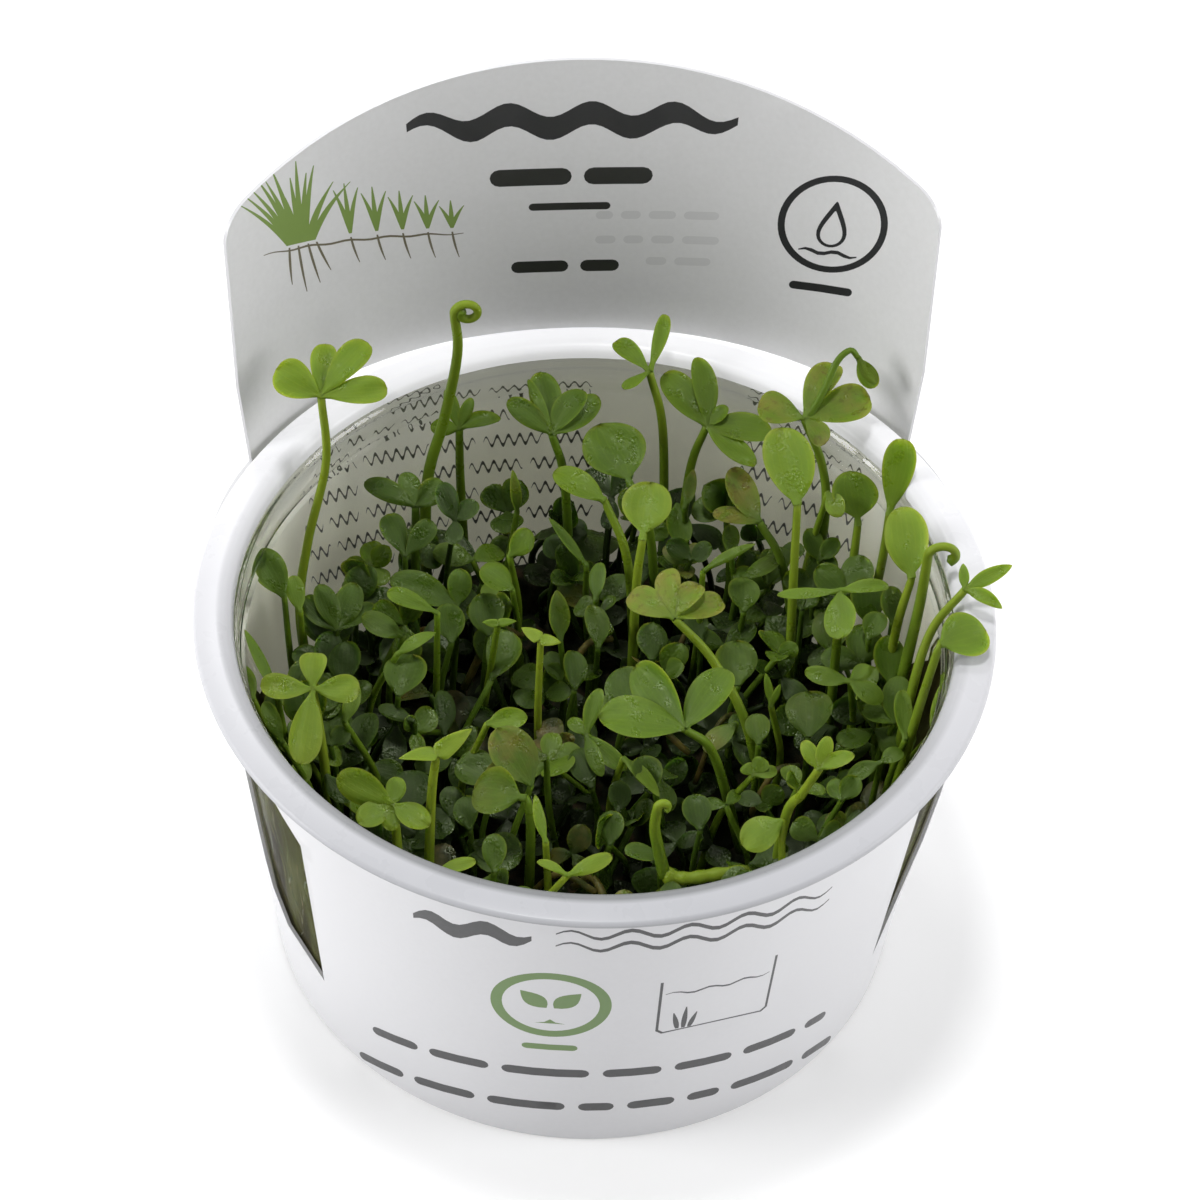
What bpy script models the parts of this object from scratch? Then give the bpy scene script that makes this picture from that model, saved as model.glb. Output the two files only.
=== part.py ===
"""Water clover in its growing cup, built together with the printed card sleeve around it.

Lengths are in metres. The origin is the middle of the cup's base on the floor, +Z is up,
and the front of the sleeve faces -Y. Angles round the cup are measured from the back (+Y)
towards +X.
"""

import math

import bmesh
import bpy
from mathutils import Vector
from mathutils.bvhtree import BVHTree
from mathutils.geometry import delaunay_2d_cdt

MM = 0.001
GAP = 0.3 * MM

# Cup: a clear shell with a stepped lid seat and a sloping flange
RIM_RADIUS = 45.0 * MM
CUP_HEIGHT = 51.3 * MM
FLOOR_THICKNESS = 0.8 * MM
WALL_RADIUS_AT_BASE = 34.9 * MM
WALL_THICKNESS = 0.7 * MM
WALL_TAPER = 0.0947
SEAT_HEIGHT = 45.0 * MM
SEAT_STEP = 0.75 * MM
NECK_SPREAD = 1.1 * MM
FLANGE_SPREAD = 2.2 * MM
FLANGE_DROP = 1.0 * MM
FLANGE_THICKNESS = 0.9 * MM
HEEL_HEIGHT = 2.2 * MM
CUP_STEPS = 44

# Sleeve: thin card round the cup, with a tall panel at the back
CARD_THICKNESS = 0.4 * MM
CARD_RADIUS_AT_BASE = 37.0 * MM
CARD_BOTTOM = 0.3 * MM
CARD_TOP = 49.2 * MM
CARD_TURN = math.radians(5.7)
CARD_COLUMN = math.radians(9.0)
CARD_LEVELS = (14.0, 28.0, 44.0)
PANEL_START = 8.0 * MM
PANEL_LEAN = 2.45 * MM
PANEL_FLARE = 2.3 * MM
PANEL_FLARE_ANGLE = math.radians(56.3)
PANEL_HALF_WIDTH = 38.4 * MM
PANEL_HALF_WIDTH_TOP = 40.3 * MM
PANEL_SHOULDER = 77.3 * MM
PANEL_CORNER = 3.7 * MM
PANEL_CORNER_TURN = math.radians(70.0)
PANEL_TOP = 87.9 * MM
PANEL_LEVELS = (50.5, 58.0, 67.0, 76.0)
HUG_END = math.radians(110.0)
SLOT_HALF_ANGLE = math.radians(40.0)
SLOT_BOTTOM = 49.2 * MM
SLOT_TOP = 51.7 * MM
WINDOW_LEFT = math.radians(-124.6)
WINDOW_RIGHT = math.radians(120.9)
# Window outline: degrees back from its front edge, height in millimetres
WINDOW_SHAPE = ((0.0, 11.5), (0.0, 38.4), (8.0, 41.5), (16.0, 42.5), (24.0, 41.0), (25.5, 33.0),
                (24.0, 22.0), (18.5, 15.0))

# Jelly and undergrowth
JELLY_TOP = 12.0 * MM
JELLY_GAP = 0.4 * MM
UNDERGROWTH_RADIUS = 35.2 * MM
UNDERGROWTH_CELLS = 24
UNDERGROWTH_BASE = 26.5 * MM
UNDERGROWTH_DISH = 1.5 * MM
TUFT_COUNT = 44
TUFT_RADIUS = 4.2 * MM
TUFT_LIFT = 3.5 * MM
TUFT_SPREAD = 2.0 * MM
BLADE_CLEARANCE = 1.8 * MM
GOLDEN_ANGLE = math.radians(137.508)

# Fronds
BLADE_THICKNESS = 0.4 * MM
HUB_RADIUS = 0.9 * MM
STEM_FOOT_RADIUS = 0.65 * MM
STEM_TIP_RADIUS = 0.5 * MM
STEM_POINTS = 7
CURL_STEPS = 9
CURL_TIP_RADIUS = 0.42 * MM
BLADE_LEAN = Vector((0.0, -0.35, 1.0))

# Each frond: the stalk's points in millimetres from the foot (x, y) up to the hub (x, y, z),
# then its leaflets as (azimuth, elevation, length, width), degrees and millimetres
FRONDS = {
    "01": ([(-33.5, 11), (-34.5, 12.5, 34), (-33.5, 15, 43), (-31.5, 18, 53), (-32, 19.5, 62)],
           [(165, 25, 6, 4.5), (92, 30, 6.5, 3), (50, 20, 8.5, 3.4), (12, 8, 7.5, 3.4)]),
    "02": ([(-16, 29.5), (-16.8, 30.5, 38), (-17, 31, 46)],
           [(62, 45, 4, 1.5), (18, 20, 5, 2), (118, 45, 5, 1.7), (180, 5, 3.4, 2)]),
    "03": ([(-21.5, 19.5), (-21.5, 20.5, 36), (-21.5, 21, 43)],
           [(155, 10, 7, 2.6), (40, 15, 4.4, 3), (105, 25, 4.4, 2.6)]),
    "04": ([(-3, 25), (-4.3, 26, 43), (-6, 27, 50)],
           [(145, 15, 6.8, 2.4), (98, 20, 8, 3.8), (40, 15, 7, 3.2)]),
    "05": ([(5, 15.5), (3.5, 17.5, 39), (0.5, 20.5, 46)], [(155, 15, 7, 3.6)]),
    "06": ([(7.5, 20), (6, 21, 40), (3.5, 22, 47)], [(118, 22, 8.5, 5.8)]),
    "07": ([(4.6, 10), (4.6, 12, 41), (5, 14, 48)], [(85, 30, 6, 5.5)]),
    "08": ([(8, 29.5), (7, 31.5, 46), (5, 33, 55)],
           [(130, 10, 6, 2.4), (75, 20, 8, 1.8), (-140, -15, 3.8, 2)]),
    "09": ([(9.5, 27), (10.3, 30, 41), (12, 31.5, 48)],
           [(140, 15, 8, 3.8), (95, 25, 8, 2.6), (0, 0, 7.5, 3.2), (-42, -5, 7, 2.4)]),
    "10": ([(25.5, 21.5), (26.3, 23, 42), (25.5, 25, 49), (23, 26.5, 55)],
           [(168, 10, 5.5, 4.4), (70, 20, 7.8, 2.9), (22, 5, 8, 3.6)]),
    "11": ([(23.3, 10), (22.7, 13, 41), (22.5, 16.5, 51)], [(100, 30, 9.3, 5.8)]),
    "12": ([(31.5, 16), (33, 17.5, 41), (33.3, 18.7, 48)], [(75, 60, 9, 3.6)]),
    "13": ([(29.3, 17), (29.8, 19, 38), (30, 20.5, 44)], [(100, 50, 6.6, 4.2)]),
    "14": ([(33.5, 4.5), (34.3, 5.5, 42), (35.5, 7, 50)], [(110, 30, 7.6, 4)]),
    "15": ([(34.6, -5), (36.1, -2, 40), (37.8, 1, 48), (41, 2, 54)],
           [(-22, 0, 4.6, 1.6), (98, 35, 3, 1.2), (28, 20, 6, 1.8)]),
    "16": ([(34.1, -8.5), (36.3, -7.5, 42), (38.1, -5.4, 53)], [(28, 6, 5.8, 5.5)]),
    "17": ([(24.5, 18), (21.5, 20.5, 37), (17.5, 22.5, 42)],
           [(155, 20, 5, 3), (70, 15, 6.3, 3)]),
    "18": ([(20.8, -6), (17.8, -4, 36), (13.5, -0.5, 43), (9, 1, 48)],
           [(155, 5, 5.8, 3), (114, 20, 6, 2.2), (68, 25, 4.6, 2.2), (20, 0, 5.8, 3)]),
    "19": ([(18, -11), (14, -12, 40), (10.5, -12.5, 45)],
           [(130, 10, 9.5, 4), (180, 0, 9, 5.2), (60, 15, 8.8, 3.6)]),
    "20": ([(28, 5), (27.8, 6, 41), (27.5, 6.3, 48)],
           [(-170, 0, 7.2, 1.8), (12, 0, 5.8, 1.9), (-85, -15, 6, 3.8)]),
    "21": ([(-28.8, -12), (-30, -10.5, 37), (-31, -8.5, 44)],
           [(85, 20, 4.5, 3.1), (-170, 10, 5.8, 3.2), (0, 0, 5.2, 3.3), (-95, -15, 8.8, 4)]),
    "22": ([(-17.3, -23), (-17, -21.5, 41), (-16.5, -20.5, 48)],
           [(-170, 10, 4, 1.6), (45, 12, 4.8, 1.8)]),
    "23": ([(-6, -21), (-6, -20.3, 35), (-6.5, -19.5, 40)], [(160, -10, 6.5, 5.1)]),
    "24": ([(-20.5, -23), (-20.7, -22.5, 35), (-21.2, -22, 41)],
           [(168, 10, 7.4, 3.6), (-130, -6, 4.8, 2.4), (-15, 0, 3, 2)]),
    "25": ([(21, -21), (22, -20.5, 40), (23.5, -21, 45), (25, -21.5, 50)],
           [(130, 35, 3.5, 1.8), (70, 55, 3.7, 1.8), (15, 30, 4.1, 1.8)]),
}

# Young fronds still rolled up: stalk points, then the curl's radius, turn and way across
CROZIERS = {
    "left": ([(-20.5, 25), (-20.6, 27, 40), (-18.6, 29, 50), (-17.2, 29.6, 60), (-17.6, 29.4, 66.5)],
             1.5, 270.0, (1.0, 0.1)),
    "right": ([(34, 0), (35.6, 3, 39), (36.6, 5.5, 47), (37, 7, 54)], 1.9, 230.0, (1.0, 0.0)),
    "front": ([(9.5, -25.5), (8.7, -25, 40), (7.9, -24.8, 46)], 1.1, 210.0, (1.0, 0.2)),
}
RHIZOME = [(11.2, -26), (14.5, -25.2), (18, -24.6)]
RHIZOME_RADIUS = 0.8 * MM

CLEAR_PLASTIC = (0.86, 0.88, 0.88)
WHITE_CARD = (0.86, 0.86, 0.87)
JELLY_GREEN = (0.30, 0.32, 0.16)
DARK_GREEN = (0.045, 0.11, 0.025)
STEM_GREEN = (0.20, 0.36, 0.06)
LEAF_GREEN = (0.16, 0.34, 0.05)


def clear_scene():
    for item in list(bpy.data.objects):
        bpy.data.objects.remove(item, do_unlink=True)


def new_collection(name):
    collection = bpy.data.collections.new(name)
    bpy.context.scene.collection.children.link(collection)
    return collection


def principled(name, colour, roughness, metallic=0.0, transmission=0.0):
    material = bpy.data.materials.new(name)
    material.use_nodes = True
    shader = material.node_tree.nodes["Principled BSDF"]
    shader.inputs["Base Color"].default_value = (*colour, 1.0)
    shader.inputs["Roughness"].default_value = roughness
    shader.inputs["Metallic"].default_value = metallic
    shader.inputs["Transmission Weight"].default_value = transmission
    return material


def add_object(name, data, material):
    item = bpy.data.objects.new(name, data)
    PARTS.objects.link(item)
    data.materials.append(material)
    return item


def mesh_object(name, bm, material):
    mesh = bpy.data.meshes.new(name)
    bm.to_mesh(mesh)
    bm.free()
    mesh.shade_smooth()
    mesh.set_sharp_from_angle(angle=math.radians(40.0))
    return add_object(name, mesh, material)


def turned(name, profile, steps, material):
    """A shape turned round Z from a profile of (radius, height) that ends down the outside."""
    mesh = bpy.data.meshes.new(name)
    points = [(radius, 0.0, height) for radius, height in profile]
    mesh.from_pydata(points, [(i, i + 1) for i in range(len(points) - 1)], [])
    item = add_object(name, mesh, material)
    screw = item.modifiers.new("Turn", "SCREW")
    screw.steps = steps
    screw.render_steps = steps
    screw.use_merge_vertices = True
    screw.merge_threshold = 0.00005
    screw.use_smooth_shade = True
    return item


def inner_wall(height):
    return WALL_RADIUS_AT_BASE + WALL_TAPER * height


def build_cup(material):
    seat = inner_wall(SEAT_HEIGHT)
    outer_seat = seat + WALL_THICKNESS
    edge = CUP_HEIGHT - FLANGE_DROP
    profile = [
        (0.0, FLOOR_THICKNESS),
        (WALL_RADIUS_AT_BASE - 0.3 * MM, FLOOR_THICKNESS),
        (inner_wall(HEEL_HEIGHT), HEEL_HEIGHT),
        (seat, SEAT_HEIGHT),
        (seat + SEAT_STEP, SEAT_HEIGHT + 1.0 * MM),
        (seat + NECK_SPREAD, CUP_HEIGHT - NECK_SPREAD),
        (seat + FLANGE_SPREAD, CUP_HEIGHT),
        (RIM_RADIUS - 0.4 * MM, edge + 0.4 * MM),
        (RIM_RADIUS, edge),
        (RIM_RADIUS, edge - 0.6 * MM),
        (RIM_RADIUS - 0.8 * MM, edge - 0.5 * MM),
        (seat + FLANGE_SPREAD - 0.1 * MM, CUP_HEIGHT - FLANGE_THICKNESS),
        (outer_seat + SEAT_STEP, CUP_HEIGHT - 4.0 * MM),
        (outer_seat, SEAT_HEIGHT + 0.2 * MM),
        (inner_wall(0.5 * HEEL_HEIGHT) + WALL_THICKNESS, 0.5 * HEEL_HEIGHT),
        (WALL_RADIUS_AT_BASE + 0.1 * MM, 0.0),
        (0.0, 0.0),
    ]
    return turned("cup", profile, CUP_STEPS, material)


def build_jelly(material):
    shoulder = HEEL_HEIGHT + 0.8 * MM
    profile = [
        (0.0, JELLY_TOP),
        (inner_wall(JELLY_TOP) - JELLY_GAP, JELLY_TOP),
        (inner_wall(shoulder) - JELLY_GAP, shoulder),
        (WALL_RADIUS_AT_BASE - 0.9 * MM, FLOOR_THICKNESS + GAP),
        (0.0, FLOOR_THICKNESS + GAP),
    ]
    return turned("jelly", profile, CUP_STEPS, material)


def fade(value, start, end):
    """1 up to start, falling smoothly to 0 at end."""
    share = min(max((value - start) / (end - start), 0.0), 1.0)
    return 0.5 + 0.5 * math.cos(math.pi * share)


def card_radius(angle, height):
    """The card's outer face: the cup's cone, leaning out towards the panel at the back."""
    cone = CARD_RADIUS_AT_BASE + WALL_TAPER * height
    rise = max((height - PANEL_START) / (CUP_HEIGHT - PANEL_START), 0.0)
    side = min(abs(angle) / PANEL_FLARE_ANGLE, 1.0)
    flare = 0.5 - 0.5 * math.cos(math.pi * side)
    grown = rise ** 3 if rise < 1.0 else 1.0 + 0.6 * (rise - 1.0)
    hug = fade(abs(angle), PANEL_FLARE_ANGLE, HUG_END)
    return cone + hug * (PANEL_LEAN * rise + PANEL_FLARE * flare * grown)


def card_point(angle, height):
    radius = card_radius(angle, height)
    turned_angle = angle - CARD_TURN
    return Vector((radius * math.sin(turned_angle), radius * math.cos(turned_angle), height))


def angle_at(half_width, height):
    """The angle at which the card is half_width from the panel's middle line."""
    angle = 0.0
    for _ in range(8):
        angle = math.asin(half_width / card_radius(angle, height))
    return angle


def panel_edge():
    """The panel's outline from its right foot over the arch, as (angle, height)."""
    middle = CARD_TOP + 0.35 * (PANEL_SHOULDER - CARD_TOP)
    bulge = PANEL_HALF_WIDTH + 0.6 * (PANEL_HALF_WIDTH_TOP - PANEL_HALF_WIDTH)
    outline = [(PANEL_HALF_WIDTH, CARD_TOP), (bulge, middle)]
    centre = PANEL_HALF_WIDTH_TOP - PANEL_CORNER
    for step in range(5):
        turn = PANEL_CORNER_TURN * step / 4.0
        outline.append((centre + PANEL_CORNER * math.cos(turn),
                        PANEL_SHOULDER + PANEL_CORNER * math.sin(turn)))
    reach, corner_top = outline[-1]
    for share in (0.8, 0.6, 0.4, 0.2):
        outline.append((reach * share, PANEL_TOP - (PANEL_TOP - corner_top) * share * share))
    edge = [(angle_at(width, height), height) for width, height in outline]
    return edge + [(0.0, PANEL_TOP)] + [(-angle, height) for angle, height in reversed(edge)]


def window(front_angle, side):
    """A kite-shaped window: apex low at the front, long edge round the side, top under the rim."""
    return [(front_angle - side * math.radians(turn), height * MM) for turn, height in WINDOW_SHAPE]


def slot():
    ends = SLOT_HALF_ANGLE
    lower = [(-ends + i * ends / 4.0, SLOT_BOTTOM) for i in range(9)]
    upper = [(ends - i * ends / 4.0, SLOT_TOP) for i in range(9)]
    return lower + upper


def build_sleeve(material):
    """The card is laid out flat as (angle, height), its holes cut, then bent round the cup."""
    full = math.pi
    columns = int(round(2.0 * full / CARD_COLUMN))
    angles = [-full + i * CARD_COLUMN for i in range(columns + 1)]
    panel = panel_edge()
    reach = panel[0][0]
    outline = [(angle, CARD_BOTTOM) for angle in angles]
    outline += [(angle, CARD_TOP) for angle in reversed(angles) if angle > reach + 0.02]
    outline += panel
    outline += [(angle, CARD_TOP) for angle in reversed(angles) if angle < -reach - 0.02]
    holes = [window(WINDOW_LEFT, -1.0), window(WINDOW_RIGHT, 1.0), slot()]
    scale = CARD_RADIUS_AT_BASE
    points = []
    edges = []
    for loop in [outline] + holes:
        first = len(points)
        points += [Vector((angle * scale, height)) for angle, height in loop]
        edges += [(first + i, first + (i + 1) % len(loop)) for i in range(len(loop))]
    points += [Vector((a * scale, h * MM)) for h in CARD_LEVELS for a in angles]
    points += [Vector((a * scale, h * MM)) for h in PANEL_LEVELS for a in angles if abs(a) < reach]
    flat, _, faces, _, _, _ = delaunay_2d_cdt(points, edges, [], 0, 1e-7)
    bm = bmesh.new()
    corners = [bm.verts.new(card_point(p.x / scale, p.y)) for p in flat]
    for face in faces:
        middle = sum((flat[i] for i in face), Vector((0.0, 0.0))) / len(face)
        if inside(middle, outline, scale) and not any(inside(middle, h, scale) for h in holes):
            bm.faces.new([corners[i] for i in reversed(face)])
    loose = [v for v in bm.verts if not v.link_faces]
    bmesh.ops.delete(bm, geom=loose, context="VERTS")
    bmesh.ops.remove_doubles(bm, verts=bm.verts, dist=0.02 * MM)
    bmesh.ops.recalc_face_normals(bm, faces=bm.faces)
    lowest = min(bm.faces, key=lambda f: f.calc_center_median().z)
    middle = lowest.calc_center_median()
    if lowest.normal.dot(Vector((middle.x, middle.y, 0.0))) < 0.0:
        bmesh.ops.reverse_faces(bm, faces=bm.faces)
    item = mesh_object("sleeve", bm, material)
    solidify = item.modifiers.new("Card", "SOLIDIFY")
    solidify.thickness = CARD_THICKNESS
    solidify.offset = -1.0
    return item


def inside(point, loop, scale):
    """Whether a point of the flat card lies within a closed loop of (angle, height)."""
    found = False
    for i, (angle, height) in enumerate(loop):
        before, below = loop[i - 1]
        if (height > point.y) != (below > point.y):
            share = (point.y - height) / (below - height)
            if point.x < (angle + share * (before - angle)) * scale:
                found = not found
    return found


def millimetres(point):
    return Vector([value * MM for value in point])


def smooth_path(points, count):
    """Points evenly spread in parameter on a Catmull-Rom curve through the given ones."""
    ends = [points[0] * 2.0 - points[1]] + points + [points[-1] * 2.0 - points[-2]]
    spans = len(points) - 1
    path = []
    for i in range(count):
        place = i * spans / (count - 1)
        span = min(int(place), spans - 1)
        t = place - span
        a, b, c, d = ends[span:span + 4]
        path.append(0.5 * ((2.0 * b) + (c - a) * t + (2.0 * a - 5.0 * b + 4.0 * c - d) * t * t
                           + (3.0 * b - a - 3.0 * c + d) * t ** 3))
    return path


def leaflet_axis(azimuth, elevation):
    flat = math.cos(math.radians(elevation))
    turn = math.radians(azimuth)
    return Vector((flat * math.cos(turn), flat * math.sin(turn), math.sin(math.radians(elevation))))


def undergrowth_height(x, y):
    """Leaf tufts set out in a sunflower spiral on a low cushion, lower beneath each blade."""
    rim = math.hypot(x, y) / UNDERGROWTH_RADIUS
    height = UNDERGROWTH_BASE + UNDERGROWTH_DISH * rim * rim
    best = 0.0
    for i in range(TUFT_COUNT):
        distance = UNDERGROWTH_RADIUS * 0.95 * math.sqrt((i + 0.5) / TUFT_COUNT)
        turn = i * GOLDEN_ANGLE
        away = math.hypot(x - distance * math.cos(turn), y - distance * math.sin(turn))
        lift = TUFT_LIFT + TUFT_SPREAD * math.sin(i * 1.7)
        best = max(best, lift * fade(away, 0.3 * TUFT_RADIUS, TUFT_RADIUS))
    return min(height + best, blade_limit(x, y))


def blade_limit(x, y):
    """The height that keeps clear of every leaflet over this place."""
    limit = 1.0
    for stalk, leaflets in FRONDS.values():
        hub = millimetres(stalk[-1])
        for azimuth, elevation, length, width in leaflets:
            axis = leaflet_axis(azimuth, elevation)
            for share in (0.0, 0.35, 0.7, 1.0):
                point = hub + axis * (length * MM * share)
                if math.hypot(point.x - x, point.y - y) < (0.5 * width + 2.6) * MM:
                    limit = min(limit, point.z - BLADE_CLEARANCE)
    return limit


def build_undergrowth(material):
    """A grid drawn round into a disc, lifted into tufts, then closed down to a flat underside."""
    bm = bmesh.new()
    cells = UNDERGROWTH_CELLS
    bmesh.ops.create_grid(bm, x_segments=cells, y_segments=cells, size=1.0)
    for vert in bm.verts:
        x, y = vert.co.x, vert.co.y
        vert.co.x = x * math.sqrt(1.0 - 0.5 * y * y) * UNDERGROWTH_RADIUS
        vert.co.y = y * math.sqrt(1.0 - 0.5 * x * x) * UNDERGROWTH_RADIUS
        vert.co.z = undergrowth_height(vert.co.x, vert.co.y)
    below = bmesh.ops.extrude_face_region(bm, geom=bm.faces[:], use_keep_orig=True)
    lower = [item for item in below["geom"] if isinstance(item, bmesh.types.BMVert)]
    for vert in lower:
        vert.co.z = JELLY_TOP + GAP
    bmesh.ops.recalc_face_normals(bm, faces=bm.faces)
    flat = [face for face in bm.faces if face.calc_center_median().z < JELLY_TOP + 2.0 * GAP]
    bmesh.ops.dissolve_faces(bm, faces=flat)
    bmesh.ops.triangulate(bm, faces=bm.faces)
    surface = BVHTree.FromBMesh(bm)
    return mesh_object("undergrowth", bm, material), surface


def ground_at(surface, x, y, radius):
    """The highest point of the undergrowth under a round foot."""
    around = [math.radians(45.0 * i) for i in range(8)]
    places = [(x, y)] + [(x + radius * math.cos(t), y + radius * math.sin(t)) for t in around]
    hits = [surface.ray_cast(Vector((px, py, 0.1)), Vector((0.0, 0.0, -1.0)))[0]
            for px, py in places]
    return max(hit.z for hit in hits if hit is not None)


def stalk_points(stalk, surface):
    foot_x, foot_y = stalk[0][0] * MM, stalk[0][1] * MM
    ground = ground_at(surface, foot_x, foot_y, 1.4 * STEM_FOOT_RADIUS)
    return [Vector((foot_x, foot_y, ground + GAP))] + [millimetres(p) for p in stalk[1:]]


def tube(name, path, foot_radius, tip_radius, material):
    curve = bpy.data.curves.new(name, "CURVE")
    curve.dimensions = "3D"
    curve.bevel_depth = 1.0
    curve.bevel_resolution = 1
    curve.use_fill_caps = True
    spline = curve.splines.new("POLY")
    spline.points.add(len(path) - 1)
    for i, (point, place) in enumerate(zip(spline.points, path)):
        share = i / (len(path) - 1)
        point.co = (*place, 1.0)
        point.radius = foot_radius + (tip_radius - foot_radius) * share
    return add_object(name, curve, material)


def build_stem(number, stalk, surface, material):
    points = stalk_points(stalk, surface)
    tip_way = (points[-1] - points[-2]).normalized()
    points[-1] = points[-1] - tip_way * (BLADE_THICKNESS * 0.5 + GAP + 0.15 * MM)
    path = smooth_path(points, STEM_POINTS)
    return tube("stem_" + number, path, STEM_FOOT_RADIUS, STEM_TIP_RADIUS, material)


def leaflet_rows(hub, leaflet, base_half, start):
    """Rows of three points from the base to the tip of one egg-shaped leaflet."""
    azimuth, elevation, length, width = leaflet
    axis = leaflet_axis(azimuth, elevation)
    side = axis.cross(BLADE_LEAN).normalized()
    normal = side.cross(axis).normalized()
    length = length * MM
    half = 0.5 * width * MM
    rows = [(start, base_half, 0.0, 0.0)]
    for share, wide, cup in ((0.3, 0.46, 0.08), (0.64, 1.0, 0.16), (0.87, 0.84, 0.1), (1.0, 0.36, 0.0)):
        rows.append((share * length, wide * half, cup * half, 0.04 * length * share * share))
    result = []
    for along, spread, cup, droop in rows:
        middle = hub + axis * along - normal * droop
        edge = normal * cup
        result.append([middle - side * spread + edge, middle, middle + side * spread + edge])
    return result


def build_leaf(number, hub_point, leaflets, material):
    """One leaf blade: leaflets in a ring round a small hub, made solid from a thin sheet."""
    hub = millimetres(hub_point)
    bm = bmesh.new()
    ring = []
    single = len(leaflets) == 1
    base_half = (0.45 if single else 0.16) * MM
    for leaflet in sorted(leaflets, key=lambda item: item[0]):
        rows = leaflet_rows(hub, leaflet, base_half, 0.0 if single else HUB_RADIUS)
        verts = [[bm.verts.new(point) for point in row] for row in rows]
        for lower, upper in zip(verts, verts[1:]):
            for left in (0, 1):
                bm.faces.new([lower[left], lower[left + 1], upper[left + 1], upper[left]])
        ring += reversed(verts[0])
    if not single:
        bm.faces.new(ring)
    bmesh.ops.recalc_face_normals(bm, faces=bm.faces)
    item = mesh_object("leaf_" + number, bm, material)
    solidify = item.modifiers.new("Blade", "SOLIDIFY")
    solidify.thickness = BLADE_THICKNESS
    solidify.offset = 0.0
    return item


def build_crozier(name, parts, surface, material):
    stalk, curl_radius, turn, across = parts
    points = smooth_path(stalk_points(stalk, surface), STEM_POINTS)
    way = Vector((across[0], across[1], 0.0)).normalized()
    radius = curl_radius * MM
    centre = points[-1] + way * radius
    for i in range(1, CURL_STEPS + 1):
        share = i / CURL_STEPS
        swing = math.radians(180.0 - turn * share)
        reach = radius * (1.0 - 0.5 * share)
        points.append(centre + way * (reach * math.cos(swing))
                      + Vector((0.0, 0.0, reach * math.sin(swing))))
    return tube("crozier_" + name, points, STEM_FOOT_RADIUS, CURL_TIP_RADIUS, material)


def build_rhizome(surface, material):
    points = []
    for x, y in RHIZOME:
        ground = ground_at(surface, x * MM, y * MM, RHIZOME_RADIUS)
        points.append(Vector((x * MM, y * MM, ground + RHIZOME_RADIUS + GAP)))
    highest = max(point.z for point in points)
    level = [Vector((point.x, point.y, highest)) for point in points]
    return tube("rhizome", smooth_path(level, 5), RHIZOME_RADIUS, RHIZOME_RADIUS * 0.9, material)


def build_plant(undergrowth_surface):
    stem_material = principled("stem", STEM_GREEN, 0.4)
    leaf_material = principled("leaf", LEAF_GREEN, 0.35)
    for number, (stalk, leaflets) in FRONDS.items():
        build_stem(number, stalk, undergrowth_surface, stem_material)
        build_leaf(number, stalk[-1], leaflets, leaf_material)
    for name, parts in CROZIERS.items():
        build_crozier(name, parts, undergrowth_surface, stem_material)
    build_rhizome(undergrowth_surface, stem_material)


clear_scene()
PARTS = new_collection("water clover cup")
build_cup(principled("clear plastic", CLEAR_PLASTIC, 0.08, transmission=0.9))
build_sleeve(principled("card", WHITE_CARD, 0.45))
build_jelly(principled("jelly", JELLY_GREEN, 0.2, transmission=0.5))
_, GROUND = build_undergrowth(principled("undergrowth", DARK_GREEN, 0.5))
build_plant(GROUND)
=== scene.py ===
"""Water clover in its growing cup: clear plastic, printed card, and the living fern.

Lengths are in metres, +Z is up, and the front of the sleeve faces -Y. Angles round the cup
are measured from the back (+Y) towards +X, as in the construction.
"""

import random
from math import asin, atan2, cos, degrees, hypot, pi, radians, sin, sqrt

import bmesh
import bpy
from mathutils import Matrix, Vector
from mathutils.geometry import delaunay_2d_cdt


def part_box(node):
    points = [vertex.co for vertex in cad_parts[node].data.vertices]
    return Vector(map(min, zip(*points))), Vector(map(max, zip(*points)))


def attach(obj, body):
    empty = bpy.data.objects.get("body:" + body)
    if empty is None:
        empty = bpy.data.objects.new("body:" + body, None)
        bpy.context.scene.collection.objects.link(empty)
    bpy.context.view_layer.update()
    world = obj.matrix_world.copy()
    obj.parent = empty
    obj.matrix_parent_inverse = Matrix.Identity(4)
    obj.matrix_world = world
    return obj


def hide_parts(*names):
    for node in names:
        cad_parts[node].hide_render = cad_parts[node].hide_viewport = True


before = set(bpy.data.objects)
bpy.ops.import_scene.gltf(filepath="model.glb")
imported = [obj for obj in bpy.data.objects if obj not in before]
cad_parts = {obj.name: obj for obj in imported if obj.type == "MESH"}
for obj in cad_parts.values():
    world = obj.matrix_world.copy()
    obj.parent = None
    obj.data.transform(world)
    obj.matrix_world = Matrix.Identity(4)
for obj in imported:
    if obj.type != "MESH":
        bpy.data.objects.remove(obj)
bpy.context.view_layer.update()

MM = 0.001
TURN = 2.0 * pi

# Camera
CAMERA_PITCH = radians(48.11)
CAMERA_ROLL = radians(2.70)
CAMERA_DISTANCE = 445.6 * MM
CAMERA_TARGET = Vector((0.48, 0.0, 51.70)) * MM
CAMERA_LENS = 120.0
CAMERA_SENSOR = 36.0

# Strength of the studio's glow at the horizon in front and all round, and overhead
SKY_FRONT = 0.03
SKY_ROUND = 1.1
SKY_OVERHEAD = 0.15

# Soft boxes: place, size across and power
SOFT_BOXES = {
    "top_box": ((-0.08, 0.04, 1.25), 0.20, 5.8),
    "back_box": ((-0.28, 0.72, 0.95), 0.24, 2.0),
    "left_box": ((-0.98, -0.18, 0.55), 0.5, 7.0),
    "right_box": ((0.98, -0.12, 0.55), 0.5, 4.8),
}
SOFT_BOX_AIM = Vector((0.0, 0.0, 0.04))
FLOOR_SIZE = 3.0

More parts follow.
